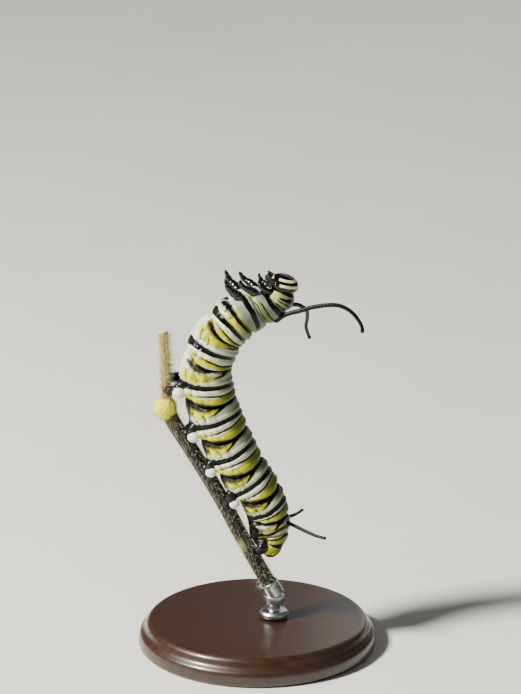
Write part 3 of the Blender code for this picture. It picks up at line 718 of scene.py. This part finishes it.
def capsule(unit):
    """Shapes points of a unit sphere into the head: narrower at the mouth, with a crease from crown to face."""
    x, y, z = unit.T
    narrow = 1.0 - 0.22 * np.maximum(-x, 0.0) ** 1.5
    crease = 0.12 * bell(y, 0.10) * np.maximum(x + 0.35, 0.0)
    # The face plate: a flat wedge between two grooves that meet high on the face.
    wedge = np.abs(y) - 0.30 * np.clip((0.42 - x) / 0.9, 0, 1.2)
    groove = 0.045 * bell(wedge, 0.045) * np.clip(z, 0, 1) * ramp(x, 0.5, -0.1)
    cheek = 0.05 * np.exp(-(((x + 0.62) / 0.3) ** 2 + ((np.abs(y) - 0.72) / 0.25) ** 2 + ((z - 0.1) / 0.5) ** 2))
    length = 1.0 - crease - groove + cheek
    return np.stack((x * HEAD_HALF[0] * length, y * HEAD_HALF[1] * narrow * (1 + cheek),
                     z * HEAD_HALF[2] * length), -1)


def head_place(u, v):
    shaped = capsule(ball(u, v))
    return in_head(shaped * (1 + 0.006 * rough(shaped, 0.8, 3)[:, None]))


def head_notes(u, v, points):
    """Two cream bands on each half, which bend round the face, and the cream of the lip's root."""
    own = (points - HEAD[:3, 3]) @ HEAD[:3, :3]
    x, y, z = (own / HEAD_HALF).T
    away = np.arccos(np.clip(z / np.maximum(np.linalg.norm(own / HEAD_HALF, axis=1), 1e-6), -1, 1))
    side = np.abs(y)
    inner = 0.18 - np.abs(away - math.radians(46.5) - 0.06 * side) * 1.55
    inner = np.minimum(inner, np.minimum((side - 0.10) * 1.4, (x + 0.38) * 0.75))
    outer = 0.20 - np.abs(away - math.radians(80.5)) * 1.55
    outer = np.minimum(outer, (x + 0.28) * 0.7)
    lip = np.minimum(0.30 - np.abs(x + 0.86) * 2.4, np.minimum((0.42 - side) * 1.6, (z - 0.1) * 1.3))
    return {"pale": np.maximum.reduce([inner, outer, lip]), "face": np.clip(1.6 - away, 0, 1)}


head = finished(wrapped("head_capsule", 120, 150, head_place, head_notes), banded_chitin(), "black_capsule", "head")

# Eyes: six on each side, in a ring low on the cheek.
lens = speckled("eye_lens_amber_black", "#0A0706", "#1B100A", 0.1, 0.05, 0.12, 0.05, 0.005, IOR=1.60,
                Coat_Weight=1.0, Coat_Roughness=0.04)
eyes = []
for side in (-1, 1):
    for k in range(6):
        turn = math.radians(-20 + 40 * k)
        seat = np.array([(-0.62 - 0.16 * math.cos(turn), side * 0.78, 0.12 + 0.22 * math.sin(turn))])
        where = in_head(capsule(seat / np.linalg.norm(seat)))[0]
        clear_choice()
        bpy.ops.mesh.primitive_uv_sphere_add(segments=24, ring_count=14, radius=0.13 * MM, location=Vector(where) * MM)
        eyes.append(tidy(bpy.context.object))
finished(joined("stemmata", eyes), lens, "black_capsule")


# Mouth: upper lip with its notch, toothed jaws, feelers, and the palps and spinneret under them.

def lip_place(u, v):
    x, y, z = ball(u, v).T
    notch = 0.45 * bell(y, 0.28) * np.clip(-x, 0, 1)
    return in_head(np.stack((-1.95 + 0.42 * x * (1 - notch), 0.62 * y, 0.72 + 0.34 * z * (1 - 0.3 * y * y)), -1))


def jaw_radius(u, v):
    teeth = 0.10 * ramp(u, 0.72, 0.15) * np.abs(np.sin(v * np.pi * 6)) ** 0.6
    return np.interp(u, (0, 0.4, 0.7, 0.86, 1), (0.44, 0.43, 0.36, 0.29, 0.20)) * (1 - teeth) * ended(u, 0.06, 0.05)


def feeler_radius(u, v):
    steps = np.interp(u, (0, .3, .34, .38, .62, .66, .70, .88, .9, 1), (1, .98, .80, .86, .82, .60, .64, .52, .3, .16))
    return 0.28 * steps * ended(u, 0.05, 0.06)


def palp_radius(u, v):
    return np.interp(u, (0, .4, .44, .7, .74, 1), (0.25, 0.23, 0.17, 0.16, 0.11, 0.07)) * ended(u, 0.05, 0.05)


def spinneret_radius(u, v):
    return np.interp(u, (0, .5, .6, 1), (0.34, 0.28, 0.12, 0.05)) * ended(u, 0.05, 0.05)


finished(wrapped("upper_lip", 40, 48, lip_place), horn, "black_capsule", "labrum")
# Each part: its radius, rows and turns of its mesh, how much flatter its tip is, the node that it stands for,
# and its course on the right side.
MOUTH_PARTS = (
    ("jaw_", jaw_radius, 48, 48, 0.35, "mandible_", [(-1.55, 0.78, 0.15), (-2.05, 0.80, 0.18), (-2.42, 0.52, 0.22)]),
    ("feeler_", feeler_radius, 60, 24, 0, "antenna_", [(-1.35, 1.15, 0.45), (-1.85, 1.38, 0.62), (-2.30, 1.42, 0.82)]),
    ("palp_", palp_radius, 44, 20, 0, "", [(-1.35, 0.42, -0.55), (-1.85, 0.45, -0.52), (-2.25, 0.34, -0.35)]))
for side, hand in SIDES:
    for name, radius, rows, turns, flatter, node, course in MOUTH_PARTS:
        part = limb(name + hand, in_head(course * np.array((1, side, 1))), radius, rows, turns,
                    lambda u: 1 - flatter * u)
        finished(part, horn, "black_capsule", *([node + hand] if node else []))
course = [(-1.2, 0, -0.62), (-1.75, 0, -0.66), (-2.15, 0, -0.55)]
finished(limb("spinneret", in_head(course), spinneret_radius, 40, 24), horn, "black_capsule")

# Jointed true legs: five parts, narrower at each joint, ending in a hooked claw. Each: segment, place along
# it, angle, thickness at the root, and how far the tip reaches from the hip.
LEGS = {"T3": ("metathorax", 0.62, 152, 0.52, (-1.6, 0.55, 2.45)),
        "T2": ("mesothorax", 0.36, 150, 0.46, (-1.75, 0.30, 1.75)),
        "T1": ("prothorax", 0.60, 146, 0.36, (-1.15, 0.10, 1.75))}
JOINTS = (0.34, 0.58, 0.80)
LEG_TAPER = (1.4, 1.4, 1.34, 1.16, 1.2, 0.95, 0.86, 0.80, 0.62, 0.5, 0.2)


def jointed_legs():
    """Polished horn of the legs with a ring of pale, matt skin at each joint."""
    finish, tree, where = begun("horn_jointed", IOR=1.5, Coat_Weight=0.25, Coat_Roughness=0.06)
    pale = add(tree, "Attribute", attribute_name="joint")
    cloud = add(tree, "TexNoise", {"Vector": where, "Scale": 3000, "Detail": 3.0})
    fine = add(tree, "TexNoise", {"Vector": where, "Scale": 9000, "Detail": 2.0})
    return surfaced(finish, [("horn", "#030304", "#0D0C0F", cloud), ("leg", "horn", "#55564F", pale)],
                    {"Value": pale, "To Min": 0.20, "To Max": 0.5}, [(0.12, 0.02, fine)])


def leg_notes(u, v, points):
    return {"joint": np.max([bell(u - joint, 0.010) for joint in JOINTS], axis=0) * 0.22}


leg_finish = jointed_legs()
for tag, (segment, share, angle, thick, reach) in LEGS.items():
    for side, hand in SIDES:
        s = middle_of(segment, share)
        root, hip = on_body(s, side * angle, -0.9), on_body(s, side * angle, 0.2)
        tip = hip + np.array((reach[0], side * reach[1], reach[2]))
        knee = hip * 0.5 + tip * 0.5 + np.array((-0.25, side * 0.35, -0.15))

        def leg_radius(u, v):
            size = np.interp(u, np.linspace(0, 1, len(LEG_TAPER)), [thick * part for part in LEG_TAPER])
            for joint in JOINTS:
                size = size * (1 - 0.12 * bell(u - joint, 0.02) + 0.06 * bell(u - joint + .06, 0.04))
            claw = np.where(u > 0.93, ramp(1 - u, 0, 0.07) ** 0.6 * 0.8 + 0.04, 1)
            return size * claw * ended(u, 0.03, 0.01)

        finished(limb("leg_%s_%s_horn" % (tag, hand), [root, hip, knee, tip], leg_radius, 110, 28, None, leg_notes),
                 leg_finish, "black_capsule", "leg_%s_%s" % (tag, hand))

# Stem: ribbed bark from the top cut to the stand, with the rounded knuckle below the thin part.
STEM_LINE = course_at(STEM_COURSE, np.linspace(0, 1, 27))


def stem_radius(z):
    return STEM_THIN + (STEM_THICK - STEM_THIN) / (1 + np.exp((z - KNUCKLE_CENTRE[2]) * 1.6))


def stem_at(z):
    return np.array([np.interp(z, STEM_LINE[::-1, 2], STEM_LINE[::-1, axis]) for axis in range(3)])


def foot_course(segment, side):
    """The line of a clasping leg from inside the body to its toe on the stem."""
    share, left_z, right_z, short = PROLEGS[segment]
    s = middle_of(segment, share)
    foot_z = left_z if side < 0 else right_z
    grip, reach = stem_at(foot_z), stem_radius(foot_z) + 0.55
    root, hip = on_body(s, side * 142, -1.5), on_body(s, side * 148, 0.25)
    foot = grip + np.array((short + 0.85, side * reach, 0.0))
    toe = grip + np.array((short, side * (reach + 0.05), 0.05))
    knee = hip * 0.45 + foot * 0.55 + np.array((0.1, side * 0.25, -0.05))
    return [root, hip, knee, foot, toe]


leather = speckled("soft_flesh_black", "#050507", "#171318", 0.5, 0.30, 0.48, 0.4, 0.04, IOR=1.42,
                   Specular_IOR_Level=0.35, Coat_Weight=0.08, Coat_Roughness=0.15, Subsurface_Weight=0.03,
                   Subsurface_Scale=0.0004)
milk = speckled("soft_flesh_white", "#DDE0D0", "#F4F4EA", 0.6, 0.38, 0.52, 0.35, 0.04, IOR=1.42,
                Subsurface_Weight=0.2, Subsurface_Scale=0.0006, Coat_Weight=0.1, Coat_Roughness=0.3)
amber = speckled("hook_horn_amber", "#140B06", "#3E2412", 0.1, 0.2, 0.35, 0.1, 0.005, IOR=1.55)
HOOKS, HOOK_SIZE = 9, 0.34


def hook_radius(u, v):
    return HOOK_SIZE * 0.22 * (1 - 0.8 * u) * ended(u, 0.1, 0.1)


def foot_hooks(course, side, grip):
    """The row of small hooks under a foot, each bent over toward the stem."""
    hooks, half = [], HOOKS // 2
    for k in range(HOOKS):
        lie = (k - half) / half
        base = course[-1] * 0.8 + course[-2] * 0.2 + np.array((-0.30 + 0.12 * lie * lie, -side * 0.30, 0.42 * lie))
        inward = grip - base
        inward[2] = 0
        inward /= np.linalg.norm(inward)
        root = base - inward * 0.1
        bent = root + inward * HOOK_SIZE * 0.9 + np.array((0.35, 0, 0.0)) * HOOK_SIZE * 0.6
        hooks.append(limb("hook", [root, root + inward * HOOK_SIZE * 0.7, bent], hook_radius, 6, 6))
    return hooks


def proleg_radius(u, v):
    size = np.interp(u, np.linspace(0, 1, 10), (1.10, 0.98, 0.82, 0.72, 0.66, 0.62, 0.62, 0.62, 0.56, 0.34))
    creases = sum(0.05 * bell(u - at, 0.014) for at in (0.46, 0.58, 0.70))
    pad = 0.10 * bell(u - 0.9, 0.06)
    ridge = 0.02 * np.cos(2 * np.pi * v * 9) * np.clip((u - 0.45) * 4, 0, 1)
    return (size - creases + pad + ridge) * ended(u, 0.04, 0.07)


for segment in PROLEGS:
    for side, hand in SIDES:
        tag = "A%s_%s" % (segment[-1], hand)
        course = foot_course(segment, side)
        finished(limb("proleg_%s_flesh" % tag, course, proleg_radius, 120, 56), leather, "black_flesh",
                 "proleg_" + tag)
        centre = on_body(BANDS[segment][2] - 0.90, side * 152, 0.70) + np.array((0.0, side * 0.42, 0.0))

        def knob_place(u, v):
            unit = ball(u, v)
            size = KNOBS[segment] * (1 + 0.04 * rough(unit * 0.8, 0.9, 4) - 0.05 * bell(unit[:, 2] - 0.45, 0.09))
            return centre + unit * size[:, None] * np.array((1.0, 0.95, 0.92))

        finished(wrapped("knob_" + tag, 40, 56, knob_place), milk, "banded_skin")
        grip = stem_at(PROLEGS[segment][1] if side < 0 else PROLEGS[segment][2])
        finished(joined("hooks_" + tag, foot_hooks(course, side, grip)), amber, "black_flesh")


def clasper_radius(u, v):
    size = np.interp(u, np.linspace(0, 1, 8), [0.72, 0.76, 0.78, 0.80, 0.78, 0.70, 0.58, 0.36])
    return (size - sum(0.05 * bell(u - at, 0.016) for at in (0.5, 0.66, 0.8))) * ended(u, 0.05, 0.08)


for side, hand in SIDES:
    root = on_body(2.9, side * 150, -0.5)
    foot, toe = np.array((0.62, side * 1.42, 13.75)), np.array((0.02, side * 1.30, 13.15))
    course = [root, root * 0.4 + foot * 0.6, foot, toe]
    finished(limb("clasper_" + hand, course, clasper_radius, 90, 44), leather, "black_flesh", "anal_proleg_" + hand)

# Filaments of soft black flesh, ringed, ending in a slightly rounded tip. Each: segment, angle, half
# thickness, and its course from the skin on.
felt = speckled("soft_flesh_ringed_black", "#050507", "#100F13", 0.3, 0.36, 0.5, 0.5, 0.03, IOR=1.42,
                Specular_IOR_Level=0.3)
FILAMENTS = {
    "front_filament_L": ("mesothorax", -28, 0.31, [
        (1.1, -0.3, 0.75), (3.3, -0.9, 1.57), (4.65, -1.2, 2.06), (6.86, -1.7, 2.51), (8.18, -1.9, 2.42),
        (9.50, -2.2, 1.75), (10.42, -2.4, 0.71), (10.88, -2.5, -0.23), (10.91, -2.6, -0.95)]),
    "front_filament_R": ("mesothorax", 28, 0.29, [
        (1.3, 0.2, 0.95), (2.42, 0.6, 1.12), (3.37, 1.6, 0.49), (3.98, 2.8, -0.51), (4.02, 4.4, -2.07),
        (3.90, 5.6, -3.44), (4.20, 6.8, -4.88), (4.42, 7.4, -5.6)]),
    "rear_filament_L": ("abdomen_8", -30, 0.25, [
        (0.84, -0.3, -0.24), (2.25, -1.2, -0.64), (3.66, -2.2, -0.93), (4.98, -3.0, -1.02)]),
    "rear_filament_R": ("abdomen_8", 30, 0.23, [
        (0.76, 0.6, 0.06), (1.29, 1.8, -0.15), (1.69, 2.8, -0.24), (2.04, 3.7, -0.30)])}
RING_STEP = 0.42
for name, (segment, angle, thick, course) in FILAMENTS.items():
    s = middle_of(segment)
    root, base = on_body(s, angle, -0.7), on_body(s, angle)
    points = [root, base] + [base + np.array(step) for step in course]
    length = sum(np.linalg.norm(np.subtract(b, a)) for a, b in zip(points, points[1:]))

    def filament_radius(u, v):
        foot = 0.30 * bell(u * length - 0.7, 0.35)
        rings = 0.035 * np.cos(2 * np.pi * u * length / RING_STEP)
        swollen = 0.16 * bell((1 - u) * length, 0.45)
        size = 1.0 - 0.26 * u ** 1.6 + foot + rings * (1 - 0.3 * u) + swollen
        return thick * size * ended(u, 0.3 / length, 0.25 / length)

    finished(limb(name + "_flesh", points, filament_radius, int(length / 0.055), 26), felt, "black_flesh", name)


def stem_bark():
    """Living bark of a milkweed stem: dull, ribbed lengthways, brown-olive with tan wear on its ribs."""
    finish, tree, where = begun("milkweed_bark", IOR=1.45, Sheen_Weight=0.2)
    upper, scar, cut = [add(tree, "Attribute", attribute_name=key) for key in ("upper", "scar", "cut")]
    # Ribs about 0.35 mm apart along a stem 38 mm long.
    sheet = add(tree, "UVMap", uv_map="unrolled")
    ribs = add(tree, "Mapping", {"Vector": sheet, "Scale": (9.0, 16.0, 1.0)})
    rib = add(tree, "TexNoise", {"Vector": ribs, "Scale": 1.0, "Detail": 5.0, "Roughness": 0.65})
    raised = add(tree, "MapRange", {"Value": rib, "From Min": 0.38, "From Max": 0.62})
    red = add(tree, "TexNoise", {"Vector": where, "Scale": 700, "Detail": 3.0})
    flush = add(tree, "MapRange", {"Value": red, "From Min": 0.5, "From Max": 0.75, "To Max": 0.45})
    # An old scar, pale and patchy.
    patchy = add(tree, "Math", {0: rib, 1: 3.2, 2: -2.05}, operation="MULTIPLY_ADD")
    ragged = add(tree, "Math", {0: scar, 1: 1.3, 2: patchy}, operation="MULTIPLY_ADD")
    worn = add(tree, "MapRange", {"Value": ragged, "From Min": -0.1, "From Max": 1.1})
    fine = add(tree, "TexNoise", {"Vector": where, "Scale": 9000, "Detail": 3.0})
    # Below the knuckle the bark is painted far darker than above it: painted shade.
    layers = [("dark", "#080604", "#80621C", upper), ("light", "#1A160B", "#D2AE50", upper),
              ("bark", "dark", "light", raised), ("bark", "bark", "#3A2614", flush),
              ("bark", "bark", "#A8A65A", worn), ("bark", "bark", "#D9D2A4", cut)]
    return surfaced(finish, layers, {"Value": rib, "To Min": 0.85, "To Max": 0.62},
                    [(0.7, 0.10, rib), (0.4, 0.04, fine)])


stem_course = STEM_COURSE[:-1] + [tuple(stem_at(STEM_FOOT))]
SCAR_CENTRE, SCAR_SIZE = np.array((-2.15, -0.8, 13.6)), np.array((0.9, 1.1, 1.5))


def stalk_radius(u, v):
    z = course_at(stem_course, u)[:, 2]
    ribs = 0.028 * np.cos(2 * np.pi * v * 9 + 3 * u) + 0.02 * np.cos(2 * np.pi * v * 14 - 9 * u)
    ends = np.where((u < 0.0005) | (u > 0.9995), 0.0, 1.0)
    return stem_radius(z) * (0.97 + ribs) * ends


def stalk_notes(u, v, points):
    """Where the thin upper part, the two cuts and the scar are."""
    return {"upper": 1 / (1 + np.exp(-(points[:, 2] - KNUCKLE_CENTRE[2]) * 1.2)),
            "cut": np.where((u < 0.004) | (u > 0.9985), 1.0, 0.0),
            "scar": np.exp(-(((points - SCAR_CENTRE) / SCAR_SIZE) ** 2).sum(1))}


stalk = limb("stem_stalk", stem_course, stalk_radius, 300, 64, None, stalk_notes)
finished(stalk, stem_bark(), "plant_stem", "perch_stem")


def knuckle_place(u, v):
    unit = ball(u, v)[:, ::-1]
    lumps = 0.055 * rough(unit * 1.5, 0.9, 6) + 0.03 * rough(unit * 1.5, 0.35, 7)
    return np.array(KNUCKLE_CENTRE) + unit * (KNUCKLE_RADIUS * (0.95 + lumps))[:, None]


young = speckled("young_stem_tissue_green", "#DADA18", "#FFF83C", 0.7, 0.55, 0.75, 0.8, 0.12, IOR=1.45,
                 Subsurface_Weight=0.15, Subsurface_Scale=0.0005)
knuckle = finished(wrapped("stem_knuckle", 90, 120, knuckle_place), young, "plant_stem")


# One hair is a bent three-sided spike: two rings of three points and a tip.
HAIR_POINTS = 7
HAIR_FACES = [(0, 1, 4, 3), (1, 2, 5, 4), (2, 0, 3, 5), (3, 4, 6), (4, 5, 6), (5, 3, 6), (2, 1, 0)]


def hairs(name, roots, outward, lean, length, thick, seed):
    """Fine solid hairs as one mesh."""
    rng = np.random.default_rng(seed)
    count = len(roots)
    across = np.cross(outward, rng.normal(size=(count, 3)))
    across /= np.linalg.norm(across, axis=1)[:, None]
    third = np.cross(outward, across)
    bend = lean + across * rng.uniform(-0.25, 0.25, (count, 1)) + third * rng.uniform(-0.25, 0.25, (count, 1))
    rows = []
    for share, width in ((-0.12, 1.0), (0.5, 0.7), (1.0, 0.0)):
        centre = roots + (outward * share + bend * max(share, 0) ** 1.6) * length[:, None]
        rows += [centre + (across * math.cos(turn) + third * math.sin(turn)) * thick * width
                 for turn in ((0, 2.094, 4.189) if width else (0,))]
    points = np.stack(rows, 1).reshape(-1, 3)
    faces = [tuple(HAIR_POINTS * k + i for i in face) for k in range(count) for face in HAIR_FACES]
    mesh = bpy.data.meshes.new(name)
    mesh.from_pydata((points * MM).tolist(), [], faces)
    ob = bpy.data.objects.new(name, mesh)
    bpy.context.scene.collection.objects.link(ob)
    return ob


def root_patches(ob, spots):
    """Gives each hair its own small square of a flat map of the surface it grows from."""
    corners = np.empty(len(ob.data.loops), int)
    ob.data.loops.foreach_get("vertex_index", corners)
    hair, corner = corners // HAIR_POINTS, corners % HAIR_POINTS
    spread = np.array([(0, 0), (1, 0), (0.5, 1), (0, 0.5), (1, 0.5), (0.5, 1), (0.5, 0.5)]) * 0.003
    layer = ob.data.uv_layers.new(name="OFBake")
    layer.data.foreach_set("uv", (0.002 + spots[hair] * 0.992 + spread[corner]).ravel())


def sprouting(name, ob, count, long, short, thick, lean, seed, keep=None):
    """Hairs spread evenly over a piece, rooted in its skin."""
    mesh = ob.data
    rng = np.random.default_rng(seed)
    flat = np.empty(len(mesh.vertices) * 3)
    mesh.vertices.foreach_get("co", flat)
    where = flat.reshape(-1, 3) / MM
    mesh.vertex_normals.foreach_get("vector", flat)
    out = flat.reshape(-1, 3)
    loops = np.empty(len(mesh.loops), int)
    mesh.loops.foreach_get("vertex_index", loops)
    uv = np.empty(len(mesh.loops) * 2)
    mesh.uv_layers["unrolled"].data.foreach_get("uv", uv)
    spots = np.zeros((len(where), 2))
    spots[loops] = uv.reshape(-1, 2)
    allowed = np.arange(len(where)) if keep is None else np.nonzero(keep(where))[0]
    picks = rng.choice(allowed, min(count, len(allowed)), replace=False)
    length = rng.uniform(short, long, len(picks))
    tufts = hairs(name, where[picks], out[picks], lean, length, thick, seed + 1)
    root_patches(tufts, spots[picks])
    return tidy(tufts, 0.0)


def off_knuckle(points):
    return np.linalg.norm(points - np.array(KNUCKLE_CENTRE), axis=1) > KNUCKLE_RADIUS + 0.02


def below_knuckle(points):
    z = points[:, 2]
    return (z > STEM_FOOT + 0.4) & (z < KNUCKLE_CENTRE[2]) & off_knuckle(points)


def above_knuckle(points):
    z = points[:, 2]
    return (z > KNUCKLE_CENTRE[2]) & (z < STEM_COURSE[0][2] - 0.3) & off_knuckle(points)


def on_face(points):
    return (points - HEAD[:3, 3]) @ HEAD[:3, 2] > -0.35


down = speckled("plant_hair_white", "#CCC28A", "#F0E9BE", 1.0, 0.45, 0.6, 0.1, 0.005, IOR=1.5,
                Subsurface_Weight=0.3, Subsurface_Scale=0.0003)
DROOP = np.array((0.0, 0.0, -0.25))
finished(joined("stem_hairs", [
    sprouting("hairs_below", stalk, 1700, 1.15, 0.35, 0.013, DROOP, 11, below_knuckle),
    sprouting("hairs_above", stalk, 1700, 0.95, 0.35, 0.017, DROOP * 0.4, 13, above_knuckle)]), down, "plant_stem")
finished(sprouting("knuckle_hairs", knuckle, 1300, 0.34, 0.14, 0.016, DROOP * 0.4, 21), down, "plant_stem")
bristle = speckled("bristle_grey", "#4A463F", "#8C887C", 0.6, 0.35, 0.5, 0.1, 0.005, IOR=1.55)
finished(sprouting("head_bristles", head, 150, 0.34, 0.16, 0.012, np.zeros(3), 31, on_face), bristle,
         "black_capsule")


# Turned stand.

def walnut():
    """Turned walnut under satin varnish: dark long grain with pores, a soft even shine."""
    finish, tree, where = begun("varnished_walnut", IOR=1.5, Coat_Weight=0.45, Coat_Roughness=0.16)
    # Year rings about 1.6 mm wide run along X, pores 0.15 mm wide and 2 mm long.
    grain = add(tree, "Mapping", {"Vector": where, "Scale": (0.16, 1.0, 1.0), "Rotation": (0.05, 0.12, 0.0)})
    ring = add(tree, "TexWave", {"Vector": grain, "Scale": 260, "Distortion": 5.0, "Detail": 3.0,
                                 "Detail Scale": 1.4}, bands_direction="Y")
    pore = add(tree, "TexNoise", {"Vector": grain, "Scale": 6000, "Detail": 2.0})
    year = add(tree, "MapRange", {"Value": ring, "From Min": 0.1, "From Max": 0.9})
    dark = add(tree, "MapRange", {"Value": pore, "From Min": 0.56, "From Max": 0.66, "To Max": 0.6})
    return surfaced(finish, [("wood", "#301C10", "#392214", year), ("wood", "wood", "#160B06", dark)],
                    {"Value": pore, "To Min": 0.28, "To Max": 0.46}, [(0.15, 0.03, pore)])


def steel():
    """Turned stainless steel: bright, with fine tool rings round it that draw the glints out."""
    finish, tree, where = begun("turned_stainless_steel", Metallic=1.0, Anisotropic=0.4)
    rings = add(tree, "Mapping", {"Vector": where, "Scale": (0.02, 0.02, 1.0)})
    tool = add(tree, "TexNoise", {"Vector": rings, "Scale": 9000, "Detail": 2.0})
    return surfaced(finish, [("steel", "#A9ABAF", "#D0D2D5", tool)],
                    {"Value": tool, "To Min": 0.22, "To Max": 0.36}, [(0.2, 0.01, tool)])


def turned(name, profile, centre, steps):
    """A solid turned from its outline: the outline is drawn as edges and spun round the axis."""
    clear_choice()
    bpy.ops.mesh.primitive_plane_add(size=1)
    ob = bpy.context.object
    ob.name = ob.data.name = name
    ob.data.clear_geometry()
    ob.data.from_pydata([((centre[0] + r) * MM, 0.0, z * MM) for r, z in profile],
                        [(k, k + 1) for k in range(len(profile) - 1)], [])
    bpy.ops.object.mode_set(mode="EDIT")
    bpy.ops.mesh.select_all(action="SELECT")
    bpy.ops.mesh.spin(steps=steps, angle=2 * math.pi, center=(centre[0] * MM, 0, 0), axis=(0, 0, 1))
    bpy.ops.object.mode_set(mode="OBJECT")
    return tidy(ob, 0.0005, 32)


def rounded(profile, size, steps=5):
    """Rounds the corners of an outline."""
    out = [profile[0]]
    for a, b, c in zip(profile, profile[1:], profile[2:]):
        a, b, c = np.array(a, float), np.array(b, float), np.array(c, float)
        near = min(size, np.linalg.norm(a - b) * 0.45, np.linalg.norm(c - b) * 0.45)
        p, q = b + (a - b) / np.linalg.norm(a - b) * near, b + (c - b) / np.linalg.norm(c - b) * near
        for k in range(steps + 1):
            t = k / steps
            out.append(tuple((1 - t) ** 2 * p + 2 * t * (1 - t) * b + t * t * q))
    return out + [profile[-1]]


R, H = BASE_RADIUS, BASE_HEIGHT
base_outline = rounded([(0, H), (R - 1.6, H), (R - 1.1, H - 0.35), (R - 0.75, H - 1.2), (R - 0.15, H - 1.7),
                        (R, H - 2.3), (R, 0.3), (R - 0.3, 0), (0, 0)], 0.28)
finished(turned("turned_base", base_outline, (0, 0), 128), walnut(), "stand_wood", "stand_base")
rod_foot, rod_top = H + 0.3, STEM_FOOT - 0.3
cup = STEM_THICK + 0.35
rod_outline = rounded([(0, rod_top), (cup, rod_top), (cup, rod_top - 1.0), (0.8, rod_top - 1.3),
                       (0.8, rod_foot + 0.9), (1.6, rod_foot + 0.8), (1.9, rod_foot + 0.45), (1.9, rod_foot),
                       (0, rod_foot)], 0.12)
bright_steel = steel()


def sleeve_radius(u, v):
    lip = 0.10 * bell(u - 0.93, 0.05)
    return (1.24 - 0.06 * u + lip) * np.where((u < 0.001) | (u > 0.999), 0.0, 1.0)


sleeve_course = [stem_at(z) for z in (6.75, 7.3, 7.9, 8.5)]
finished(limb("stem_sleeve", sleeve_course, sleeve_radius, 60, 64), bright_steel, "stand_steel")
finished(turned("turned_rod", rod_outline, (stem_at(STEM_FOOT)[0], 0), 64), bright_steel, "stand_steel", "stand_rod")

# Floor, lights and camera.
clear_choice()
bpy.ops.mesh.primitive_plane_add(size=3.0, location=(0, 0, 0))
floor = bpy.context.object
floor.name = floor.data.name = "floor"
bpy.ops.object.transform_apply(location=True, rotation=True, scale=True)
floor.data.materials.append(speckled("matt_paper_pale", "#EAE8E2", "#EEECE7", 40.0, 0.7, 0.8, 0.05, 0.05, IOR=1.4))


def softbox(name, size, power, where, target, colour):
    """A round soft light of a size in m and a power in W, turned to what it lights."""
    light = bpy.data.lights.new(name, "AREA")
    light.shape = "DISK"
    light.size = size
    light.energy = power
    light.color = linear(colour)[:3]
    ob = bpy.data.objects.new(name, light)
    ob.location = where
    ob.rotation_euler = (Vector(target) - Vector(where)).to_track_quat("-Z", "Y").to_euler()
    bpy.context.scene.collection.objects.link(ob)


softbox("key_softbox", 0.08, 7.4, (-0.35, -0.13, 0.37), (0, 0, 0.03), "#FFFDF3")
softbox("fill_softbox", 0.45, 0.16, (0.42, -0.34, 0.16), (0, 0, 0.03), "#EAF1FF")
softbox("rim_softbox", 0.30, 0.22, (0.16, 0.42, 0.20), (0, 0, 0.035), "#FFFFFF")
world = bpy.data.worlds.new("pale_room")
bpy.context.scene.world = world
world.use_nodes = True
world.node_tree.nodes["Background"].inputs["Color"].default_value = linear("#E8EAEC")
world.node_tree.nodes["Background"].inputs["Strength"].default_value = 0.11

# The camera stands half a metre away, 18 degrees above the level.
IMAGE_ROWS, ROW_MM = 694, 0.128
lift, distance = math.radians(18), 0.5
aim = Vector((0.000448, 0.0, 0.04078))
camera_data = bpy.data.cameras.new("camera")
camera_data.sensor_fit = "VERTICAL"
camera_data.sensor_height = 24
camera_data.lens = camera_data.sensor_height / (IMAGE_ROWS * ROW_MM * MM / distance)
camera_data.clip_start = 0.001
camera = bpy.data.objects.new("camera", camera_data)
camera.location = aim + Vector((0, -math.cos(lift), math.sin(lift))) * distance
camera.rotation_euler = (math.radians(90) - lift, 0, 0)
bpy.context.scene.collection.objects.link(camera)
bpy.context.scene.camera = camera
